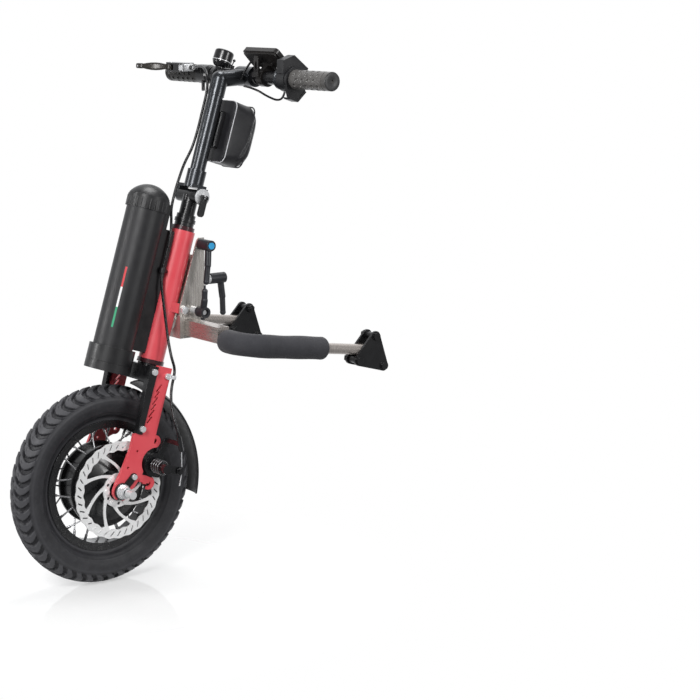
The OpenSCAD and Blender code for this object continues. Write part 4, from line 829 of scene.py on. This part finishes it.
def make_grip(name, flip, finish):
    stations = list(np.linspace(GRIP_IN + 0.0001, GRIP_OUT - 0.0125, 118))
    stations += [GRIP_IN + 0.0030, GRIP_IN + 0.0032]
    stations += list(np.linspace(GRIP_OUT - 0.0118, GRIP_OUT - 0.0016, 10))
    sides = 144
    rows = []
    for x in sorted(stations):
        for k in range(sides):
            a = 2 * math.pi * k / sides
            r = grip_radius(x, a)
            rows.append((x, r * math.cos(a), r * math.sin(a)))
    end_rings = [(GRIP_OUT - 0.0006, GRIP_R - 0.0004), (GRIP_OUT - 0.0001, GRIP_R - 0.0014),
                 (GRIP_OUT - 0.0001, 0.0052), (GRIP_OUT - 0.0008, 0.0044), (GRIP_OUT - 0.0008, 0.0034),
                 (GRIP_OUT - 0.0040, 0.0030)]
    bore_rings = [(GRIP_OUT - 0.0045, GRIP_BORE_R), (GRIP_IN + 0.0001, GRIP_BORE_R)]
    for x, r in end_rings + bore_rings:
        rows += [(x, r * c, r * s) for c, s in circle(sides)]
    count = len(stations) + len(end_rings)
    faces = ring_faces(count, sides)
    faces.append(row_of(count, -1, sides))
    bore = count * sides
    for k in range(sides):
        m = (k + 1) % sides
        faces.append((bore + k, bore + m, bore + sides + m, bore + sides + k))
        faces.append((bore + sides + k, bore + sides + m, m, k))
    faces.append(tuple(bore + k for k in range(sides)))
    if flip:
        rows = [(-p[0], p[1], p[2]) for p in rows]
    grip = mesh_piece(name, rows, faces, finish, "upper", BAR)
    sharp_by_angle(grip, 45)
    grip.data.materials.append(M["grip_cap"])
    for face in grip.data.polygons:
        along = sum(rows[v][0] for v in face.vertices) / len(face.vertices)
        if abs(along) > GRIP_OUT - CAP_DEPTH:
            face.material_index = 1
    return grip


left_grip = make_grip("left_grip", False, "grip")
# the far grip wears the darker copy of the grip rubber, painted shade
make_grip("right_grip", True, "grip_painted_shade")
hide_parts("grips")


# Return spring of the caliper, of round wire with open curls, in the place of the solid one
def make_spring():
    curls = 4
    steps = 28
    wire = 0.0026
    mid = 0.0105
    low, high = 0.0663, 0.0957
    pitch = (high - low - 2 * wire) / curls
    path = [Vector((low, mid, 0)), Vector((low + wire * 0.6, mid, 0))]
    for i in range(curls * steps + 1):
        a = 2 * math.pi * i / steps
        path.append(Vector((low + wire + pitch * i / steps, mid * math.cos(a), mid * math.sin(a))))
    path += [Vector((high - wire * 0.6, mid, 0)), Vector((high, mid, 0))]
    place = STEER @ Matrix.Translation((0, 0.011, 0.0395))
    spring = tube("caliper_coil", path, wire / 2, 12, "blued", "caliper_arm", place)
    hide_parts("caliper_spring")


make_spring()


# Pouch behind the stem: a shell lofted back from its piped front panel
POUCH_LOW = 0.543
POUCH_HIGH = 0.647
POUCH_HALF = 0.032
POUCH_FRONT = 0.0227
POUCH_DEPTH = 0.0585


def rounded_ring(half, low, high, radius, count):
    """Points round a rounded rectangle in X and Z, counted from the middle of its +X side."""
    mid_z = (low + high) / 2
    half_z = (high - low) / 2
    corners = [(half - radius, half_z - radius, 0), (-half + radius, half_z - radius, 90),
               (-half + radius, -half_z + radius, 180), (half - radius, -half_z + radius, 270)]
    outline = []
    for cx, cz, start in corners:
        for i in range(13):
            a = math.radians(start + 90 * i / 12)
            outline.append(Vector((cx + radius * math.cos(a), cz + radius * math.sin(a))))
    lengths = [(outline[(i + 1) % len(outline)] - outline[i]).length for i in range(len(outline))]
    total = sum(lengths)
    ring = []
    i, done = 0, 0.0
    for k in range(count):
        target = total * k / count
        while done + lengths[i] < target:
            done += lengths[i]
            i += 1
        t = (target - done) / max(lengths[i], 1e-9)
        p = outline[i].lerp(outline[(i + 1) % len(outline)], t)
        ring.append((p.x, mid_z + p.y))
    return ring


def make_pouch():
    count = 128
    stations = []
    for i in range(40):
        t = i / 39
        y = POUCH_FRONT + POUCH_DEPTH * t
        back = max(0.0, (t - 0.62) / 0.38)
        pull = 1 - math.sqrt(max(0.0, 1 - back * back))
        front = math.exp(-t * 22) * 0.0012
        stations.append((y, front + pull * 0.027, 0.013 + 0.014 * t))
    rows = []
    for y, inset, radius in stations:
        share = (y - POUCH_FRONT) / POUCH_DEPTH
        half = POUCH_HALF - inset * 0.75
        for x, z in rounded_ring(half, POUCH_LOW + inset, POUCH_HIGH - inset, radius, count):
            side = abs(x) / POUCH_HALF
            rise = (z - POUCH_LOW) / (POUCH_HIGH - POUCH_LOW)
            crease = 0.60 + 0.10 * math.sin(rise * 2.4) - 0.42 * max(0.0, 0.42 - rise)
            behind = smooth_step(crease - 0.012, crease + 0.02, share)
            behind *= 1 - smooth_step(0.80, 0.93, share)
            within = smooth_step(0.04, 0.16, rise) * (1 - smooth_step(0.86, 0.96, rise))
            dent = -0.0030 * behind * smooth_step(0.80, 0.97, side) * within
            sag = -0.0009 * math.sin(share * math.pi) * math.sin(rise * math.pi * 1.3)
            x += math.copysign(dent + sag * smooth_step(0.7, 1, side), x) * smooth_step(0.3, 0.8, side)
            z += 0.0006 * math.sin(share * 9 + 2 * side) * (1 - side)
            rows.append((x, y, z))
    mid_z = (POUCH_LOW + POUCH_HIGH) / 2
    last = rows[-count:]
    for share, out in ((0.75, 0.0006), (0.4, 0.0011), (0.08, 0.0013)):
        rows += [(x * share, y + out, mid_z + (z - mid_z) * share) for x, y, z in last]
    faces = capped_faces(len(rows) // count, count)
    pouch = mesh_piece("pouch_shell", rows, faces, "shell", "upper", STEER)
    sharp_by_angle(pouch, 50)
    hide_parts("pouch")
    trims = (("pouch_piping", POUCH_FRONT + 0.0022, 0.0002, 0.00085, "piping"),
             ("pouch_zip", POUCH_FRONT + 0.0400, 0.0006, 0.0012, "pouch"))
    for name, y, inset, radius, finish in trims:
        ring = rounded_ring(POUCH_HALF - inset, POUCH_LOW + inset, POUCH_HIGH - inset, 0.0125, 96)
        loop = [Vector((x, y, z)) for x, z in ring]
        ring_tube(name, loop, radius, 10, finish, "upper", STEER)


def ring_tube(name, loop, radius, sides, finish, body, place):
    """A tube round a closed loop of points."""
    count = len(loop)
    centre = sum(loop, Vector()) / count
    rows = []
    for i in range(count):
        t = (loop[(i + 1) % count] - loop[i - 1]).normalized()
        out = loop[i] - centre
        out = (out - out.dot(t) * t).normalized()
        side = t.cross(out)
        rows += [loop[i] + radius * (c * out + s * side) for c, s in circle(sides)]
    mesh_piece(name, rows, ring_faces(count, sides, closed_rows=True), finish, body, place)


make_pouch()
block("pouch_pad", (-9, 13.1, 565), (9, 24.5, 627), 2, "plastic", "upper", STEER)


# Brake lever: a leaf-shaped blade with a blocky tip, in the perch's frame, and the bright parts round it
PERCH = BAR @ Matrix.Translation((-GRIP_IN, 0, 0))
LEVER_PIVOT = Vector((-32, -43, 12)) * MM
LEVER_TIP = Vector((-108, -63, 12)) * MM
BLADE = [(0.00, 8.0, 9.0), (0.10, 9.0, 9.0), (0.16, 9.4, 9.6), (0.26, 9.0, 12.2), (0.38, 8.4, 13.6),
         (0.52, 7.6, 13.2), (0.66, 6.6, 11.0), (0.76, 6.0, 8.6), (0.80, 6.2, 8.4), (0.82, 7.2, 9.2),
         (0.98, 7.2, 9.2), (1.00, 6.4, 8.4)]


def make_lever():
    sides = 40
    along = (LEVER_TIP - LEVER_PIVOT).normalized()
    side = Vector((0, 0, 1)).cross(along)
    rows = []
    for share, wide, tall in BLADE:
        centre = LEVER_PIVOT.lerp(LEVER_TIP, share) + side * 0.0045 * math.sin(share * math.pi)
        for c, s in circle(sides):
            u, w = squarish(c, s, 0.6)
            rows.append(centre + side * (u * wide / 2 * MM) + Vector((0, 0, w * tall / 2 * MM)))
    faces = capped_faces(len(BLADE), sides)
    blade = mesh_piece("lever_blade", rows, faces, "lever_alloy", "brake_lever", PERCH)
    sharp_by_angle(blade, 50)
    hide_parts("brake_lever")
    upright = PERCH @ Matrix.Translation((LEVER_PIVOT.x, LEVER_PIVOT.y, 0))
    boss = [(0.0074, 0.0068), (0.0078, 0.0070), (0.0162, 0.0070), (0.0166, 0.0068)]
    lathe("lever_boss", boss, 48, "lever_alloy", "brake_lever", upright, "Z")
    pin = [(0.0030, 0.0022), (0.0034, 0.0024), (0.0204, 0.0024), (0.0208, 0.0022)]
    lathe("lever_pin", pin, 32, "silver", "brake_lever", upright, "Z")
    half = Vector((2.1, 0.9, 1.9))
    for i, share in enumerate((0.87, 0.94)):
        dot = LEVER_PIVOT.lerp(LEVER_TIP, share) * 1000 + side * 3.6 * (-1 if side.y > 0 else 1)
        name = "lever_dot_" + str(i)
        block(name, dot - half, dot + half, 0.5, "piping", "brake_lever", PERCH)


make_lever()
block("perch_sleeve", (2, -51.5, 4.2), (16.3, -28.6, 19.8), 1.2, "silver", "upper", PERCH)
adjuster = [(16, 3.0), (16, 5.4), (17, 6.0), (20, 6.0), (20.6, 5.0), (21, 4.2), (25, 4.2), (25.5, 3.4),
            (30, 3.2), (30.4, 2.6)]
turned("perch_adjuster", adjuster, (0, -38, 12), "chrome", "upper", PERCH)
screw = [(0, 1.2), (0, 2.6), (1.2, 2.4), (1.6, 1.6)]
for number, y in enumerate((-33, -46)):
    turned("perch_screw_" + str(number), screw, (16.2, y, 16), "chrome", "upper", PERCH)

# Bell skirt, rings on the bar beside the throttle, and the slotted bracket under the display
BELL = BAR @ Matrix.Rotation(math.radians(-22), 4, "X") @ Matrix.Translation((-0.087, 0, 0))
skirt = [(0.0135, 0.0085), (0.0150, 0.0118), (0.0178, 0.0140), (0.0196, 0.0150), (0.0208, 0.0155)]
lathe("bell_skirt", skirt, 96, "alloy", "upper", BELL, "Z")
bell_top = BELL @ Matrix.Translation((0, 0, 0.0232)) @ Matrix.Rotation(math.radians(-90), 4, "Y")
bell_ring = [(0, 16.2), (0.4, 16.9), (1.2, 16.9), (1.6, 16.2)]
turned("bell_ring", bell_ring, (0, 0, 0), "silver", "upper", bell_top, 96)
throttle_ring = [(0, 16.5), (0.6, 18.1), (4.4, 18.1), (5.2, 17.4), (6.0, 18.1), (8.4, 18.1), (9, 16.5)]
turned("throttle_ring", throttle_ring, (92.5, 0, 0), "stem", "upper", BAR, 96)
slotted_plate("display_bracket", (45, -16.5, 20), (13, 31), (5, 13), 3.2, "display", "upper",
              BAR)
block("display_bracket_foot", (36, -19, 1), (54, -8, 9), 1.2, "display", "upper", BAR)


# Stripe on the battery: three plain fields of colour
def make_stripe():
    low, high = 0.240, 0.339
    middle = math.radians(-49)
    half = math.radians(2.9)
    steps = 8
    n = steps + 1
    for i, finish in enumerate(("stripe_green", "stripe_white", "stripe_red")):
        z0 = low + (high - low) * i / 3
        z1 = low + (high - low) * (i + 1) / 3
        rows = []
        for z in (z0, z1):
            for r in (CASE_R - 0.0005, CASE_R + 0.00018):
                for k in range(n):
                    a = middle - half + 2 * half * k / steps
                    rows.append((r * math.cos(a), r * math.sin(a), z))
        faces = []
        for k in range(steps):
            for a, b in ((0, n), (2 * n, 3 * n), (n, 3 * n), (0, 2 * n)):
                faces.append((a + k, a + k + 1, b + k + 1, b + k))
        for k in (0, steps):
            faces.append((k, n + k, 3 * n + k, 2 * n + k))
        mesh_piece(finish + "_field", rows, faces, finish, "frame", BATTERY, smooth=False)


make_stripe()


# Floor, backdrop and soft light
def make_floor():
    steps = 96
    radius = 6.0
    points = [(0, 0, 0)] + [(radius * c, radius * s, 0) for c, s in circle(steps)]
    faces = [(0, 1 + k, 1 + (k + 1) % steps) for k in range(steps)]
    data = bpy.data.meshes.new("floor")
    data.from_pydata(points, [], faces)
    floor = placed("floor", data)
    made = Finish("floor", specular=0.5)
    made.colour(made.mixed(made.mapped(made.noise(3), 0, 1), (0.93, 0.93, 0.93), (0.95, 0.95, 0.95)))
    made.roughness(made.mapped(made.noise(5), 0.03, 0.05))
    data.materials.append(made.material)
    out = [n for n in made.tree.nodes if n.type == "OUTPUT_MATERIAL"][0]
    fade = made.mapped(made.worked("LENGTH", made.place, vector=True), 0.42, 1, 0.1, 0.5)
    clear = made.add("ShaderNodeBsdfTransparent")
    blend = made.add("ShaderNodeMixShader")
    made.link(fade, blend, 0)
    made.link(made.shader.outputs["BSDF"], blend, 1)
    made.link(clear.outputs["BSDF"], blend, 2)
    made.link(blend.outputs["Shader"], out, "Surface")


def make_world():
    """A room that is white behind the part and dim in front of it, so that black parts stay black."""
    world = bpy.data.worlds.new("studio")
    bpy.context.scene.world = world
    world.use_nodes = True
    tree = world.node_tree
    tree.nodes.clear()
    out = tree.nodes.new("ShaderNodeOutputWorld")
    place = tree.nodes.new("ShaderNodeTexCoord")
    facing = tree.nodes.new("ShaderNodeVectorMath")
    facing.operation = "DOT_PRODUCT"
    facing.inputs[1].default_value = (-0.79, 0.61, 0)
    tree.links.new(place.outputs["Generated"], facing.inputs[0])
    ramp = tree.nodes.new("ShaderNodeMapRange")
    for key, value in (("From Min", 0.1), ("From Max", 0.9), ("To Min", 0.22), ("To Max", 1.0)):
        ramp.inputs[key].default_value = value
    tree.links.new(facing.outputs["Value"], ramp.inputs["Value"])
    light = tree.nodes.new("ShaderNodeBackground")
    light.inputs["Color"].default_value = (0.97, 0.98, 1.0, 1)
    tree.links.new(ramp.outputs["Result"], light.inputs["Strength"])
    white = tree.nodes.new("ShaderNodeBackground")
    white.inputs["Color"].default_value = (1, 1, 1, 1)
    white.inputs["Strength"].default_value = 1.0
    path = tree.nodes.new("ShaderNodeLightPath")
    mix = tree.nodes.new("ShaderNodeMixShader")
    tree.links.new(path.outputs["Is Camera Ray"], mix.inputs[0])
    tree.links.new(light.outputs[0], mix.inputs[1])
    tree.links.new(white.outputs[0], mix.inputs[2])
    tree.links.new(mix.outputs[0], out.inputs[0])


def make_light(name, place, target, size, watts):
    data = bpy.data.lights.new(name, "AREA")
    data.shape = "RECTANGLE"
    data.size, data.size_y = size
    data.energy = watts
    lamp = placed(name, data)
    lamp.location = place
    lamp.rotation_mode = "QUATERNION"
    lamp.rotation_quaternion = (Vector(target) - Vector(place)).to_track_quat("-Z", "Y")


make_floor()
make_world()
make_light("key", (1.6, -2.4, 2.4), (0, 0.1, 0.45), (1.0, 1.4), 85)
make_light("side", (2.7, 1.0, 1.4), (0, 0.1, 0.4), (0.6, 1.8), 34)
make_light("left", (-1.2, -2.4, 0.9), (0, 0.1, 0.4), (0.5, 1.8), 34)
make_light("top", (-0.3, 0.8, 2.9), (0, 0.2, 0.4), (1.2, 1.2), 40)

bpy.context.scene.view_settings.view_transform = "Standard"
